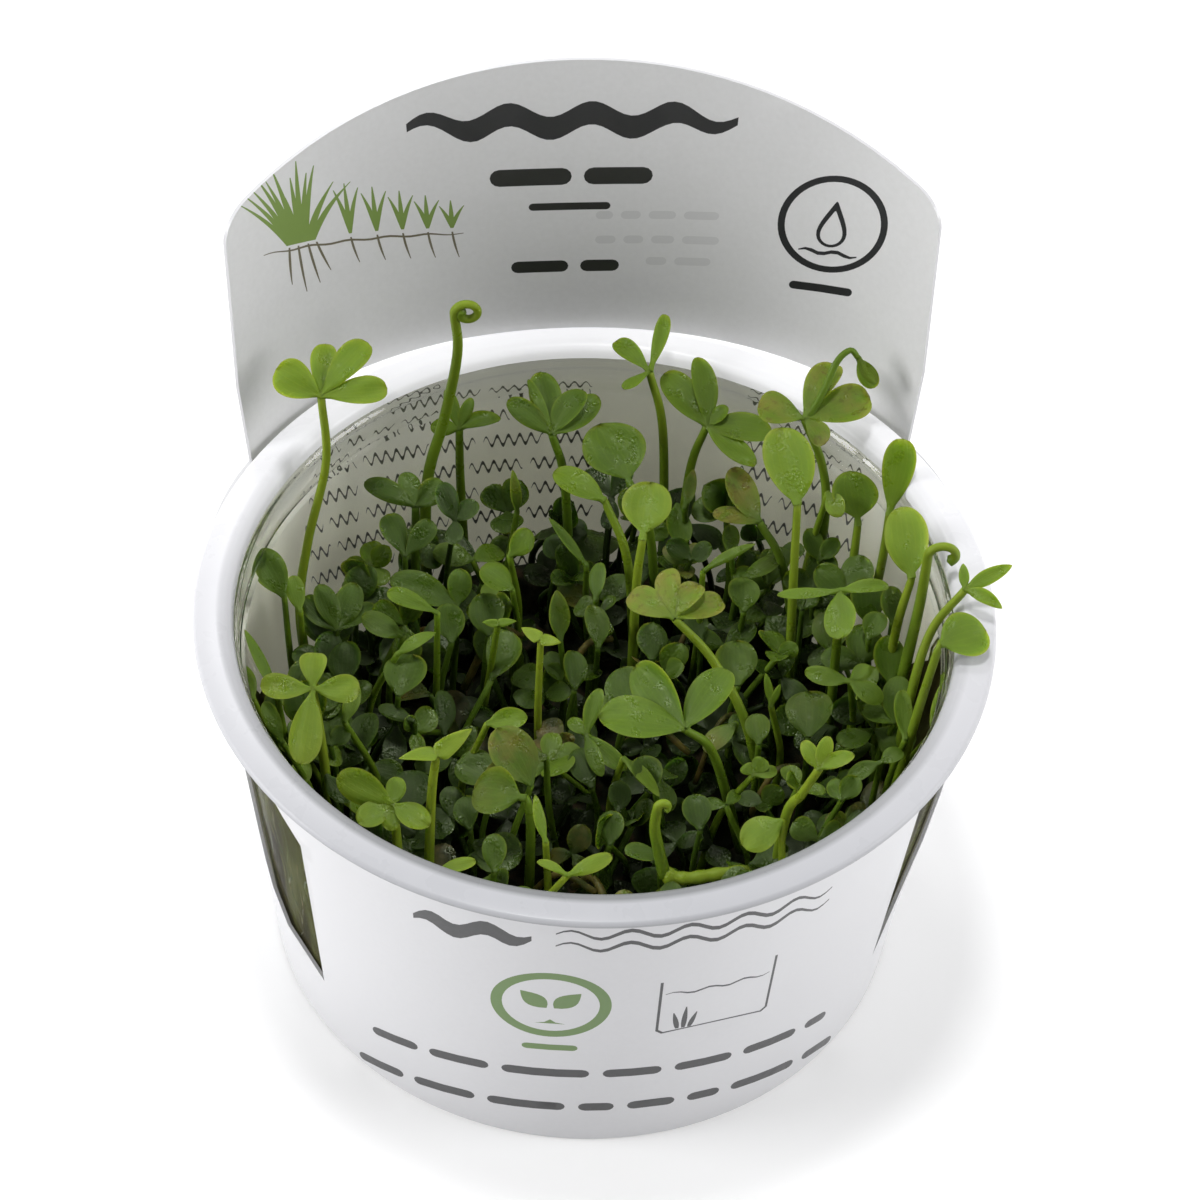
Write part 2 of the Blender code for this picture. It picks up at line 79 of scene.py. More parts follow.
# Cup
RIM_RADIUS = 44.8 * MM
CUP_HEIGHT = 51.3 * MM
FLOOR_THICKNESS = 0.8 * MM
WALL_RADIUS_AT_BASE = 34.9 * MM
WALL_THICKNESS = 0.7 * MM
WALL_TAPER = 0.0947
WALL_RUNGS = [height * MM for height in range(4, 44, 3)]
SEAT_HEIGHT = 45.0 * MM
NECK_SPREAD = 1.1 * MM
# Profile above the seat, in millimetres: out from the seat's radius and up from its height, then
# out from the seat's or the rim's radius and up from the cup's top
NECK = ((0.0, 0.0), (0.75, 1.0), (0.95, 3.1), (0.62, 3.5), (0.62, 4.0), (1.1, 4.4))
MOUTH = ((1.2, -1.1), (1.4, -0.55), (2.0, -0.15), (2.9, 0.0))
LIP = ((-0.3, -0.3), (0.0, -0.65), (0.0, -1.0), (-0.6, -0.95))
UNDERSIDE = ((2.1, -0.9), (1.45, -4.0), (0.7, -6.1))
CUP_STEPS = 192
JELLY_STEPS = 96
ROUNDING = 0.25 * MM
# The wall, beyond this radius, is pressed out behind the windows to this far from the card, and
# fades back to round over these angles to each side
PRESSED_RADIUS = 30.0 * MM
PRESSED_GAP = 0.25 * MM
PRESSED_FULL = radians(16.0)
PRESSED_END = radians(46.0)

# Sleeve
CARD_THICKNESS = 0.4 * MM
CARD_RADIUS_AT_BASE = 37.0 * MM
CARD_BOTTOM = 0.3 * MM
CARD_TOP = 49.2 * MM
CARD_TURN = radians(5.7)
CARD_COLUMN = radians(3.0)
CARD_ROW = 4.0 * MM
CARD_ROWS = 22
CARD_SEAM = radians(-75.0)
CARD_STEPS = 120
MERGED = 0.005 * MM
PANEL_START = 8.0 * MM
PANEL_LEAN = 2.45 * MM
PANEL_FLARE = 2.3 * MM
PANEL_FLARE_ANGLE = radians(56.3)
PANEL_HALF_ANGLE = radians(52.0)
PANEL_HALF_WIDTH = 38.4 * MM
PANEL_HALF_WIDTH_TOP = 40.3 * MM
PANEL_SHOULDER = 77.3 * MM
PANEL_CORNER = 3.7 * MM
PANEL_CORNER_TURN = radians(70.0)
PANEL_CORNER_STEPS = 10
PANEL_ARCH_STEPS = 16
PANEL_TOP = 87.9 * MM
HUG_END = radians(110.0)
SIDE_SWELL = 1.5 * MM
SIDE_SWELL_MIDDLE = radians(100.0)
SIDE_SWELL_REACH = radians(36.0)
SIDE_SWELL_TOP = 34.0 * MM
SLOT_HALF_ANGLE = radians(40.0)
SLOT_BOTTOM = 49.2 * MM
SLOT_TOP = 51.2 * MM
SLOT_STEPS = 24
WINDOW_LEFT = radians(-124.6)
WINDOW_RIGHT = radians(122.6)
# Window outlines: degrees back from the front edge, height in millimetres
WINDOW_SHAPE_LEFT = ((0.0, 11.5), (0.0, 38.4), (8.0, 41.5), (16.0, 42.5), (24.0, 41.0), (25.5, 33.0),
                     (25.2, 27.0), (24.0, 22.0), (22.2, 17.8), (19.0, 14.8), (12.5, 12.8))
WINDOW_SHAPE_RIGHT = ((0.0, 11.5), (0.0, 40.6), (4.0, 42.3), (11.0, 43.0), (12.5, 40.0), (11.5, 34.0),
                      (9.0, 27.5), (5.5, 21.0), (2.5, 15.5))
WINDOW_MIDDLES = (WINDOW_LEFT + radians(13.0) - CARD_TURN, WINDOW_RIGHT - radians(13.0) - CARD_TURN)
# The print sinks towards the sides of the front, and rises towards those of the panel
FRONT_SAG = 4.7 * MM / radians(42.0) ** 2
PANEL_RISE = 1.3 * MM / radians(21.0) ** 2

# Jelly and the tangle of leaves above it
JELLY_TOP = 12.0 * MM
JELLY_GAP = 0.4 * MM
GAP = 0.3 * MM
TANGLE_RADIUS = 34.6 * MM
BED_TOP = 18.0 * MM
BED_RISE = 3.0 * MM
BED_LUMPS = 90
LUMP_REACH = 4.5
GOLDEN_ANGLE = radians(137.508)
# Storeys of small fronds: how many, the least share of the radius, then the lowest and highest
# hub in millimetres, the tones, darker lower down as painted shade, and the tilts of a leaflet in degrees
STOREYS = (
    (84, 0.0, (20.0, 25.0), (0.0, 0.09), (-30.0, 60.0)),
    (62, 0.0, (26.5, 31.0), (0.08, 0.35), (-30.0, 65.0)),
    (34, 0.0, (31.0, 36.0), (0.40, 0.62), (-25.0, 70.0)),
    (50, 0.94, (26.0, 34.0), (0.08, 0.42), (-20.0, 75.0)),
)
# Small leaves keep this far from the tall fronds' leaves, and below the ceiling
CLEARANCE = 2.0 * MM
CEILING = 44.0 * MM
# How much higher, in millimetres, and brighter the tangle is towards the left and right
SIDE_RISE = 3.5
SIDE_TONE = 0.08
# Tone kept by a leaf pushed under its storey, painted shade, and the share of small fronds that are browning
UNDER_PAINTED_SHADE = 0.6
BROWNING = 0.08

# Growth pressed into the wall behind the windows: depths from the wall's inner face, outwards
# positive, and its reach to each side in degrees
FILM_OUTER = 0.52 * MM
FILM_INNER = -0.25 * MM
FILM_BOTTOM = 8.0 * MM
# Height of the film's top at its ends, and how much it rises behind the window, in millimetres
FILM_TOP = 28.0
FILM_RISE = 14.0
FILM_REACH = 36.0
FILM_COLUMNS = 92
FILM_ROWS = 28
STRANDS = 140
STRAND_REACH = 27.0

# Fronds
BLADE_LEAN = Vector((0.0, -0.35, 1.0))
STALK_FOOT_RADIUS = 0.62 * MM
STALK_TIP_RADIUS = 0.46 * MM
STALK_RINGS = 26
STALK_SIDES = 12
SMALL_RINGS = 11
OLD_RINGS = 12
OLD_TONE = 0.10
STRAND_RINGS = 8
PATH_RINGS = 24
BUD_RINGS = 20
CURL_RINGS = 30
# Where a stalk starts inside the tangle, in millimetres
TALL_FOOT = 22.0
SMALL_FOOT = 17.0
# How much darker a leaflet is at its base, and a stalk at its tip
BASE_SHADE = 0.07

# Leaflet outlines: the narrow share at the foot, where it is widest, how fast it widens, and
# how blunt its tip is
OUTLINES = {
    "fan": (0.0, 0.70, 1.05, 0.42),
    "egg": (0.0, 0.58, 0.85, 0.50),
    "round": (0.04, 0.55, 0.64, 0.50),
    "slim": (0.0, 0.48, 0.90, 0.75),
    "wing": (0.0, 0.14, 0.50, 0.95),
    "disc": (0.15, 0.52, 0.66, 0.52),
}

# Least and most of what gives each leaflet its own form
LEAF_FORMS = {
    "cup": (0.02, 0.42), "skew": (-0.3, 0.3), "arch": (-0.05, 0.35), "droop": (-0.06, 0.16),
    "wave": (0.02, 0.09), "bend": (-0.1, 0.1), "phase": (0.0, 6.0), "twist": (-0.35, 0.35),
}

# Each frond: stalk points in millimetres from the foot (x, y) up to the hub (x, y, z), its
# leaflets as (azimuth, elevation, length, width) in degrees and millimetres, its outline,
# and its tone from 0, dark, to 1, bright yellow-green, with its share of brown
FRONDS = {
    "01": ([(-33.5, 11), (-34.5, 12.5, 34), (-33.5, 15, 43), (-31.5, 18, 53), (-32, 19.5, 62)],
           [(165, 25, 6, 4.5), (92, 30, 6.5, 3), (50, 20, 8.5, 3.4), (12, 8, 7.5, 3.4)], "fan", 0.8, 0),
    "02": ([(-16, 29.5), (-16.8, 30.5, 38), (-17, 31, 46)], [(62, 45, 4, 1.5), (18, 20, 5, 2),
           (118, 45, 5, 1.7), (180, 5, 3.4, 2)], "egg", 0.62, 0),
    "03": ([(-21.5, 19.5), (-21.5, 20.5, 36), (-21.5, 21, 43)], [(155, 10, 7, 2.6), (40, 15, 4.4, 3),
           (105, 25, 4.4, 2.6)], "egg", 0.4, 0),
    "04": ([(-3, 25), (-4.3, 26, 43), (-6, 27, 50)], [(143, 16, 6.8, 2.7), (98, 22, 8, 3.8),
           (62, 26, 6.6, 3.2), (38, 15, 7.4, 3.2), (124, 32, 7.2, 1.2)], "egg", 0.52, 0),
    "05": ([(5, 15.5), (3.5, 17.5, 39), (0.5, 20.5, 46)], [(155, 15, 7, 3.6)], "egg", 0.7, 0),
    "06": ([(7.5, 20), (6, 21, 40), (3.5, 22, 47)], [(114, 22, 8.6, 7.3)], "disc", 0.56, 0),
    "07": ([(4.6, 10), (4.6, 12, 41), (5, 13.4, 47.2)], [(85, 30, 7.2, 5.6)], "disc", 0.8, 0),
    "08": ([(8, 29.5), (7, 31.5, 46), (5, 33, 55)], [(130, 10, 6, 2.4), (75, 20, 8, 1.8),
           (-140, -15, 3.8, 2)], "fan", 0.74, 0),
    "09": ([(9.5, 27), (10.3, 30, 41), (12, 31.5, 48)], [(138, 15, 8.2, 4.2), (96, 25, 8.6, 3.2),
           (0, 0, 7.8, 4.2), (-45, -5, 7.8, 3.2), (36, 26, 3.4, 1.9)], "egg", 0.66, 0),
    "10": ([(25.5, 21.5), (26.3, 23, 42), (25.5, 25, 49), (23, 26.5, 55)], [(167, 10, 5.6, 5),
           (69, 20, 8, 3.8), (24, 6, 8.4, 4.8), (-41, -16, 3.8, 2.9)], "fan", 0.66, 0.62),
    "11": ([(23.3, 10), (22.7, 13, 41), (22.5, 16.5, 51)], [(100, 30, 9.4, 5.8)], "round", 0.78, 0),
    "12": ([(31.5, 16), (33, 17.5, 41), (33.3, 18.7, 48)], [(75, 60, 9, 3.9)], "fan", 0.74, 0),
    "13": ([(29.3, 17), (29.8, 19, 38), (30, 20.5, 44)], [(100, 50, 6.4, 5.4)], "disc", 0.7, 0),
    "14": ([(33.5, 4.5), (34.3, 5.5, 42), (35.5, 7, 50)], [(106, 32, 8.4, 4.9)], "round", 0.82, 0),
    "15": ([(34.6, -5), (36.1, -2, 40), (37.8, 1, 48), (41, 2, 54)], [(-22, 0, 4.6, 1.6), (98, 35, 3, 1.2),
           (28, 20, 6, 1.8)], "slim", 0.78, 0.1),
    "16": ([(34.1, -8.5), (36.3, -7.5, 42), (38.1, -5.4, 53)], [(28, 6, 5.8, 5.5)], "round", 0.72, 0),
    "17": ([(24.5, 17), (21.8, 19.5, 37), (18.7, 22, 42)], [(128, 22, 7.4, 3.6), (176, 4, 5.6, 3.2)],
           "egg", 0.55, 0.95),
    "18": ([(20.8, -6), (17.8, -4, 36), (13.5, -0.5, 43), (9, 1, 48)], [(148, 4, 6, 3.6), (108, 22, 6.2, 3),
           (60, 25, 5, 2.8), (26, 2, 6, 3.6)], "fan", 0.74, 0.7),
    "19": ([(18, -11), (14, -12, 40), (10.5, -12.5, 45)], [(130, 10, 9.8, 4.8), (178, 0, 9.6, 6),
           (60, 15, 9, 4.4)], "egg", 0.58, 0),
    "20": ([(28, 5), (27.8, 6, 41), (27.5, 6.3, 48)], [(-170, 0, 7.2, 1.8), (12, 0, 5.8, 1.9),
           (-85, -15, 6, 3.8)], "egg", 0.68, 0),
    "21": ([(-28.8, -12), (-30, -10.5, 37), (-31, -8.5, 44)], [(85, 20, 4.5, 3.1), (-170, 10, 5.8, 3.2),
           (0, 0, 5.2, 3.3), (-95, -15, 8.8, 4)], "fan", 0.82, 0),
    "22": ([(-17.3, -23), (-17, -21.5, 41), (-16.5, -20.5, 48)], [(-168, 14, 4.2, 2.1), (42, 16, 5, 2.2)],
           "wing", 0.86, 0),
    "23": ([(-6, -21), (-6, -20.3, 35), (-6.5, -19.5, 40)], [(160, -8, 6.6, 5.4)], "disc", 0.56, 0.2),
    "24": ([(-20.5, -23), (-20.7, -22.5, 35), (-21.2, -22, 41)], [(154, 12, 7, 3.8), (-150, -8, 4.4, 3),
           (-28, -6, 4.9, 3.2), (78, 30, 3.2, 2.2), (-96, -20, 3, 2.2)], "egg", 0.76, 0),
    "25": ([(21, -21), (22, -20.5, 40), (23.5, -21, 45), (25, -21.5, 50)], [(130, 35, 3.5, 1.8),
           (70, 55, 3.7, 1.8), (15, 30, 4.1, 1.8)], "round", 0.8, 0),
}

# Smaller fronds between the tall ones: foot x and y, hub x, y and z in millimetres, then
# leaflets, outline, tone and brown as above
SMALL_FRONDS = [
    (-5.4, -1, -6, 0.5, 44, [(145, 10, 2.7, 1.6), (-10, 5, 2.4, 1.6)], "wing", 0.86, 0),
    (-14.5, -7.5, -11.5, -9, 40, [(0, 20, 4.7, 2.6)], "egg", 0.74, 0),
    (23.5, -24, 21.5, -22.5, 42, [(-150, -10, 5.2, 4)], "round", 0.8, 0),
    (-33.9, 6.5, -35.6, 6.9, 42, [(124, 35, 6.2, 3.8)], "egg", 0.5, 0),
    (-32.4, 6.5, -33.8, 6.5, 40, [(111, 36, 4.3, 2.2)], "egg", 0.66, 0),
    (-30, 6.6, -29.6, 6.6, 37, [(144, 27, 5.5, 2.9), (116, 38, 5.7, 2.7), (68, 31, 5.9, 3.3),
     (37, 0, 5.6, 2.5)], "egg", 0.38, 0),
    (-23.3, 5.2, -21.9, 5.2, 38, [(161, 11, 5.4, 2.9)], "round", 0.5, 0.05),
    (-18.4, 5.5, -18, 5.5, 42, [(168, 23, 6.3, 2.2)], "fan", 0.62, 0),
    (-26.3, 0.6, -22.3, 0.6, 40, [(31, 23, 5.1, 1.7)], "slim", 0.62, 0),
    (-16.8, 10.3, -16.1, 10.3, 38, [(165, 17, 8.3, 3.8), (83, 43, 4.4, 2.9)], "egg", 0.42, 0),
    (-12.6, 8.6, -12.3, 8.6, 35, [(107, 37, 5, 4.2)], "round", 0.36, 0),
    (-16.7, 6.5, -16.4, 6.5, 36, [(98, 42, 4.5, 3.6)], "round", 0.4, 0),
    (-23.3, -2.9, -21.9, -2.9, 37, [(79, 29, 5.2, 4.9)], "round", 0.42, 0),
    (-9.4, 11.4, -9.7, 11.4, 40, [(154, 20, 4.5, 4)], "round", 0.54, 0.05),
    (-9.9, 14.9, -10.2, 14.9, 42, [(37, 32, 3.8, 2.9)], "egg", 0.64, 0),
    (-10.4, 21.9, -9.7, 21.9, 42, [(110, 80, 6.1, 1.3)], "slim", 0.52, 0.4),
    (-17.7, 20.1, -16.8, 20.1, 42, [(135, 57, 4.8, 2.9), (32, 36, 3.4, 2.7), (-87, -18, 3.2, 2.2)],
     "egg", 0.22, 0),
    (-23.1, 15.9, -22.4, 15.9, 40, [(123, 34, 5.4, 3.3), (47, 35, 5.2, 2.7)], "fan", 0.34, 0),
    (-0.2, 17.5, -1.3, 17.5, 38, [(141, 33, 7.2, 1.3)], "slim", 0.52, 0),
    (-0.4, 13.2, 0, 13.2, 37, [(90, 43, 4.4, 2.2)], "egg", 0.44, 0),
    (0.4, 8.4, 0.5, 8.4, 34, [(95, 36, 5.1, 2.9)], "egg", 0.36, 0.05),
    (-3.9, 7.6, -3.9, 7.6, 36, [(99, 57, 6, 2.5)], "slim", 0.42, 0.15),
    (-13.6, 4.3, -11, 4.3, 42, [(-177, 15, 1.9, 1), (8, 13, 2.2, 1)], "wing", 0.66, 0),
    (-2, 3.5, -2, 3.5, 32, [(93, 32, 4.7, 3.1)], "round", 0.36, 0),
    (-25.7, -6.4, -25.7, -6.4, 31, [(94, 25, 4.7, 3.7)], "round", 0.24, 0),
    (-16.7, -2.5, -16.7, -2.5, 30, [(94, 35, 5.2, 2.9)], "egg", 0.22, 0),
    (-19.3, -4.1, -20, -4.1, 34, [(163, 13, 4.5, 1.8)], "egg", 0.3, 0),
    (-31.6, -8, -35.1, -8, 42, [(128, 37, 8.3, 1.7)], "slim", 0.6, 0),
    (-34.1, -5.1, -38.1, -5.4, 38, [(121, 32, 4.7, 2.5)], "round", 0.7, 0),
    (-29.3, -13, -34.1, -13, 40, [(119, 37, 5, 2)], "egg", 0.52, 0),
    (-22.3, -8, -27.6, -8, 38, [(76, 26, 4.6, 1.9)], "slim", 0.62, 0.05),
    (-32, -8.2, -36.4, -8.2, 38, [(64, 32, 3.7, 2.2)], "egg", 0.46, 0),
    (9.1, 28, 9.1, 28, 38, [(-87, -10, 5.6, 3.3)], "egg", 0.5, 0),
    (9.9, 25.7, 9.9, 25.7, 40, [(68, 48, 4.7, 1.7)], "slim", 0.46, 0.5),
    (15.8, 20.2, 15.6, 20.2, 38, [(95, 31, 3.8, 2.1)], "egg", 0.42, 0.1),
    (16.6, 17.7, 17, 17.7, 37, [(26, 11, 5.2, 2.5)], "egg", 0.42, 0.1),
    (11.5, 13.8, 12.2, 13.8, 42, [(33, 17, 6.9, 1.2)], "slim", 0.62, 0),
    (17.3, 13.3, 17.3, 13.3, 36, [(94, 30, 4.1, 3.8)], "round", 0.48, 0),
    (33.3, 9, 34.2, 9.2, 40, [(103, 37, 4.2, 3.1)], "round", 0.46, 0.1),
    (16.8, 2.7, 16.8, 2.7, 35, [(97, 21, 5.5, 4.9)], "round", 0.44, 0.05),
    (6.8, 6.9, 6.8, 6.9, 34, [(96, 26, 4.6, 4)], "round", 0.3, 0),
    (4.3, -2, 4.3, -2, 35, [(106, 22, 5.4, 4.5)], "round", 0.36, 0),
    (0.2, -6.5, -0.3, -6.5, 36, [(80, 33, 5.5, 1.9), (130, 0, 3.1, 1.7), (-72, -11, 5.4, 1.8),
     (-46, -9, 6.1, 2.2)], "egg", 0.56, 0),
    (21.3, -1.8, 20.5, -1.8, 37, [(102, 50, 3.9, 1), (43, 69, 3.2, 0.8)], "slim", 0.7, 0),
    (28.9, -0.1, 29.3, -0.1, 40, [(172, 0, 5.3, 2.2), (-34, -13, 4.3, 2.7), (40, 19, 3, 2)],
     "egg", 0.62, 0),
    (24.4, -5.4, 24.8, -5.4, 36, [(89, 20, 5.8, 5.4)], "round", 0.4, 0.1),
    (18.8, -6.7, 19.2, -6.7, 36, [(95, 33, 3.6, 2.9)], "round", 0.52, 0.1),
    (33, -10.1, 32.8, -10.3, 38, [(33, 20, 2.9, 2), (-161, -14, 4.2, 2)], "egg", 0.48, 0),
    (33.8, -7.1, 38.3, -7.5, 40, [(74, 34, 7.2, 1.6)], "slim", 0.76, 0),
    (33.6, -8, 35.4, -8.4, 40, [(99, 32, 5.7, 2.2)], "egg", 0.56, 0),
    (13.1, -12.2, 18.5, -12.2, 37, [(138, 38, 1.6, 1.8), (52, 39, 2.4, 2), (7, 10, 2.8, 1.6)],
     "fan", 0.66, 0),
    (2.8, -10.6, 3.9, -10.6, 37, [(-46, 0, 6.5, 1.6)], "slim", 0.72, 0),
    (12.4, 11.2, 12.4, 11.2, 33, [(115, 33, 3.7, 2.9)], "round", 0.26, 0),
    (-4.5, 22.8, -4.5, 22.8, 33, [(129, 39, 3.2, 2.7)], "round", 0.16, 0),
    (5.1, 19.4, 5.1, 19.4, 33, [(93, 26, 4.6, 3.3)], "egg", 0.2, 0),
    (24.1, 14, 24.1, 14, 36, [(65, 21, 2.7, 2.7), (120, 22, 2.7, 2.2)], "egg", 0.34, 0),
    (31.9, 8.1, 31.6, 8.1, 38, [(65, 35, 3.5, 2.9)], "egg", 0.5, 0),
    (-19.7, -16.1, -19.7, -16.1, 32, [(91, 21, 5.6, 5.1)], "round", 0.22, 0),
    (-3.7, -25.4, -4.2, -25.4, 40, [(116, 35, 5.3, 1.4)], "slim", 0.78, 0),
    (-10.7, -31.5, -1.7, -31.5, 42, [(154, 16, 3.6, 1.1), (24, 10, 5.5, 1.9)], "egg", 0.82, 0),
    (-7.2, -31.5, -15.6, -31.5, 42, [(11, 7, 4.2, 1.7)], "egg", 0.82, 0),
    (-9.7, -26.7, -9.7, -26.7, 36, [(97, 37, 4.2, 2.7)], "egg", 0.46, 0),
    (2.9, -20.6, 2.9, -20.6, 34, [(91, 31, 3.9, 3.3)], "round", 0.34, 0),
    (0.6, -11.8, 0.6, -11.8, 33, [(118, 23, 5, 3.3)], "egg", 0.3, 0),
    (-2.5, -11.8, -4.7, -11.8, 38, [(-156, 0, 7.4, 2.9), (167, 11, 5.5, 2.5)], "egg", 0.5, 0.75),
    (3.6, -15.1, 3.6, -15.1, 33, [(85, 33, 3.6, 2.7)], "round", 0.26, 0),
    (12.8, -19.5, 12.8, -19.5, 36, [(103, 29, 4.1, 3.3)], "round", 0.3, 0),
    (7.6, -14.1, 7.6, -14.1, 36, [(120, 29, 4.2, 3.3)], "round", 0.4, 0),
    (27.2, -15.9, 28.4, -15.9, 38, [(49, 38, 3.2, 2.5), (125, 22, 2.6, 2)], "egg", 0.44, 0),
    (-12.8, -18.6, -12.8, -18.6, 33, [(109, 31, 3.9, 2.9)], "round", 0.3, 0),
    (-28, -9.8, -29.1, -9.8, 36, [(130, 16, 3.6, 2.7), (43, 21, 2.8, 2.2)], "egg", 0.36, 0),
    (10.9, 21.1, 10.9, 21.1, 36, [(156, 34, 3.6, 2.5), (6, 39, 3.2, 2.5)], "egg", 0.26, 0),
    (26, 20.2, 26, 20.2, 38, [(134, 48, 4, 2.5), (42, 37, 3.3, 2.2)], "egg", 0.42, 0),
    (-9, -17.5, -6.2, -15.4, 37.5, [(128, 38, 7.4, 5.2)], "round", 0.5, 0.6),
    (24, 21.5, 26.3, 22.5, 47, [(-60, -8, 3.4, 2.4)], "round", 0.7, 0.2),
    (28, 15, 29.2, 15, 38, [(60, 32, 5, 4), (150, 22, 4.8, 3.6)], "round", 0.42, 0),
    (31, 10, 31.6, 11.4, 37, [(92, 42, 5.4, 4.4)], "round", 0.36, 0),
    (30.5, 5, 31, 6.6, 35, [(82, 36, 5, 4.4), (165, 12, 4.8, 3)], "egg", 0.4, 0),
    (27, 10, 27.6, 9.4, 34, [(96, 36, 4.8, 4.2)], "round", 0.34, 0.1),
    (33, 2, 34.2, 2.4, 37, [(98, 46, 5.6, 3.8)], "egg", 0.5, 0),
    (33, -3, 34.6, -2.6, 36, [(92, 42, 5.4, 3.4), (160, 15, 4, 2.8)], "egg", 0.46, 0),
    (25, 17.5, 25.6, 17.6, 36, [(74, 32, 4.6, 3.8), (170, 20, 4, 3)], "round", 0.34, 0),
    (-30.5, 2, -31.2, 3, 34, [(72, 32, 4.6, 3.4), (146, 16, 4, 3)], "round", 0.22, 0),
    (-28, 0, -28.4, 1, 34, [(96, 32, 5, 4)], "round", 0.24, 0),
    (-30, 8, -31.5, 8.4, 33, [(104, 40, 4.8, 3.6), (40, 15, 4.4, 3)], "round", 0.2, 0),
    (-26, 12, -27.4, 12.6, 35, [(84, 40, 4.6, 3.8), (10, 12, 4, 2.8)], "round", 0.26, 0),
]

# Old brown stalks in the gaps of the tangle: two ends and the height that the bow reaches
OLD_STALKS = [
    ((3, 0.5, 25), (11.5, -3.5, 30), 32),
    ((8.5, 10, 25), (13, 14.5, 31), 33),
    ((-7, -22, 24), (1.5, -25, 31), 32),
    ((-1, -19, 24), (3.5, -27.5, 30), 31),
    ((-15, 9, 25), (-8.5, 12.5, 31), 33),
    ((18, -10, 24), (24, -5.5, 31), 32),
    ((-4, 8, 25), (2, 12.5, 31), 32),
    ((-12, -8, 24), (-5.5, -4.5, 30), 31),
    ((12.5, -3, 24), (17, 3, 30), 31),
]

# Young fronds still rolled up: stalk points, then the curl's radius, turn and way across
CROZIERS = {
    "left": ([(-20.5, 25, 22), (-20.6, 27, 40), (-18.6, 29, 50), (-17.2, 29.6, 60), (-17.6, 29.4, 66.5)],
             1.5, 400.0, (1.0, 0.1)),
    "right": ([(34, 0, 22), (35.6, 3, 39), (36.6, 5.5, 47), (37, 7, 54)], 1.9, 230.0, (1.0, 0.0)),
    "front": ([(9, -25.8, 35.6), (8.2, -25, 39), (7.6, -24.7, 42.5), (7.8, -24.6, 46)],
              0.62, 235.0, (1.0, 0.2)),
}
# The last leaf of frond 10, still folded, on its own arching stalk
BUD_STALK = [(23.2, 26.6, 54.6), (24.9, 28.5, 57.2), (26.4, 31, 60), (27.9, 32, 61), (28.9, 31.8, 60)]
BUD_LEAFLETS = [(-42, -48, 4, 2.3), (-36, -40, 3.6, 1.6)]
RHIZOME = [(9.2, -25.9), (11.6, -26), (14.6, -25.3), (18.2, -24.6)]
RHIZOME_RADIUS = 0.8 * MM
RHIZOME_LIFT = 2.2 * MM


# Materials

class Nodes:
    """A node tree in the making. A value is a number, a colour or another node's socket."""

    def __init__(self, tree):
        self.tree = tree

    def add(self, kind, **values):
        node = self.tree.nodes.new("ShaderNode" + kind)
        for name, value in values.items():
            if name in node.inputs:
                node.inputs[name].default_value = value
            else:
                setattr(node, name, value)
        return node

    def give(self, socket, value):
        if isinstance(value, bpy.types.NodeSocket):
            self.tree.links.new(value, socket)
        else:
            socket.default_value = (*value, 1.0) if isinstance(value, tuple) else value

    def place(self, stretch=None):
        """The point's place on the object, if asked with each axis stretched."""
        place = self.add("TexCoord").outputs["Object"]
        if stretch is None:
            return place
        node = self.add("Mapping")
        node.inputs["Scale"].default_value = stretch
        self.give(node.inputs["Vector"], place)
        return node.outputs[0]

    def axes(self, vector):
        node = self.add("SeparateXYZ")
        self.give(node.inputs[0], vector)
        return node.outputs

    def noise(self, scale, detail=3.0, place=None):
        """Noise whose scale is in features per metre of the object."""
        node = self.add("TexNoise", Scale=scale, Detail=detail)
        self.give(node.inputs["Vector"], self.place() if place is None else place)
        return node.outputs["Fac"]

    def mapped(self, value, low, high, new_low=0.0, new_high=1.0):
        node = self.add("MapRange", **{"From Min": low, "From Max": high,
                                       "To Min": new_low, "To Max": new_high})
        self.give(node.inputs["Value"], value)
        return node.outputs["Result"]

    def calc(self, operation, first, second):
        node = self.add("Math", operation=operation)
        self.give(node.inputs[0], first)
        self.give(node.inputs[1], second)
        return node.outputs[0]

    def plus(self, first, second):
        return self.calc("ADD", first, second)

    def times(self, first, second):
        return self.calc("MULTIPLY", first, second)

    def mixed(self, factor, first, second):
        """A colour between two."""
        node = self.add("Mix", data_type="RGBA")
        self.give(node.inputs["Factor"], factor)
        self.give(node.inputs[6], first)
        self.give(node.inputs[7], second)
        return node.outputs[2]

    def ramp(self, value, stops):
        node = self.add("ValToRGB")
        elements = node.color_ramp.elements
        for place, _ in stops[1:-1]:
            elements.new(place)
        for element, (place, colour) in zip(elements, stops):
            element.position = place
            element.color = (*colour, 1.0)
        self.give(node.inputs["Fac"], value)
        return node.outputs["Color"]


class Look(Nodes):
    """A material in the making."""

    def __init__(self, name, colour, roughness, **inputs):
        self.material = bpy.data.materials.new(name)
        self.material.use_nodes = True
        super().__init__(self.material.node_tree)
        self.sockets = self.tree.nodes["Principled BSDF"].inputs
        self.sockets["Base Color"].default_value = (*colour, 1.0)
        self.sockets["Roughness"].default_value = roughness
        for socket, value in inputs.items():
            self.sockets[socket.replace("_", " ")].default_value = value

    def feed(self, socket, value):
        self.give(self.sockets[socket], value)

    def bump(self, height, strength, distance):
        node = self.add("Bump", Strength=strength, Distance=distance)
        self.give(node.inputs["Height"], height)
        self.feed("Normal", node.outputs["Normal"])


BLACK = (0.0, 0.0, 0.0)
WHITE = (1.0, 1.0, 1.0)
CARD_WHITE = (0.68, 0.68, 0.70)
# The card's inner face: the card's white in its own lighter tone, painted light
CARD_INSIDE_PAINTED_LIGHT = (0.73, 0.73, 0.735)
# Lighter, yellower colour below the rim: a damp stain and painted light; also the painted glow's colour
CARD_STAIN_AND_PAINTED_LIGHT = (0.80, 0.785, 0.62)
# Painted glow on the card's inner face, standing in for daylight that the thin card lets through where the
# cup shades it
CARD_PAINTED_GLOW = 0.15
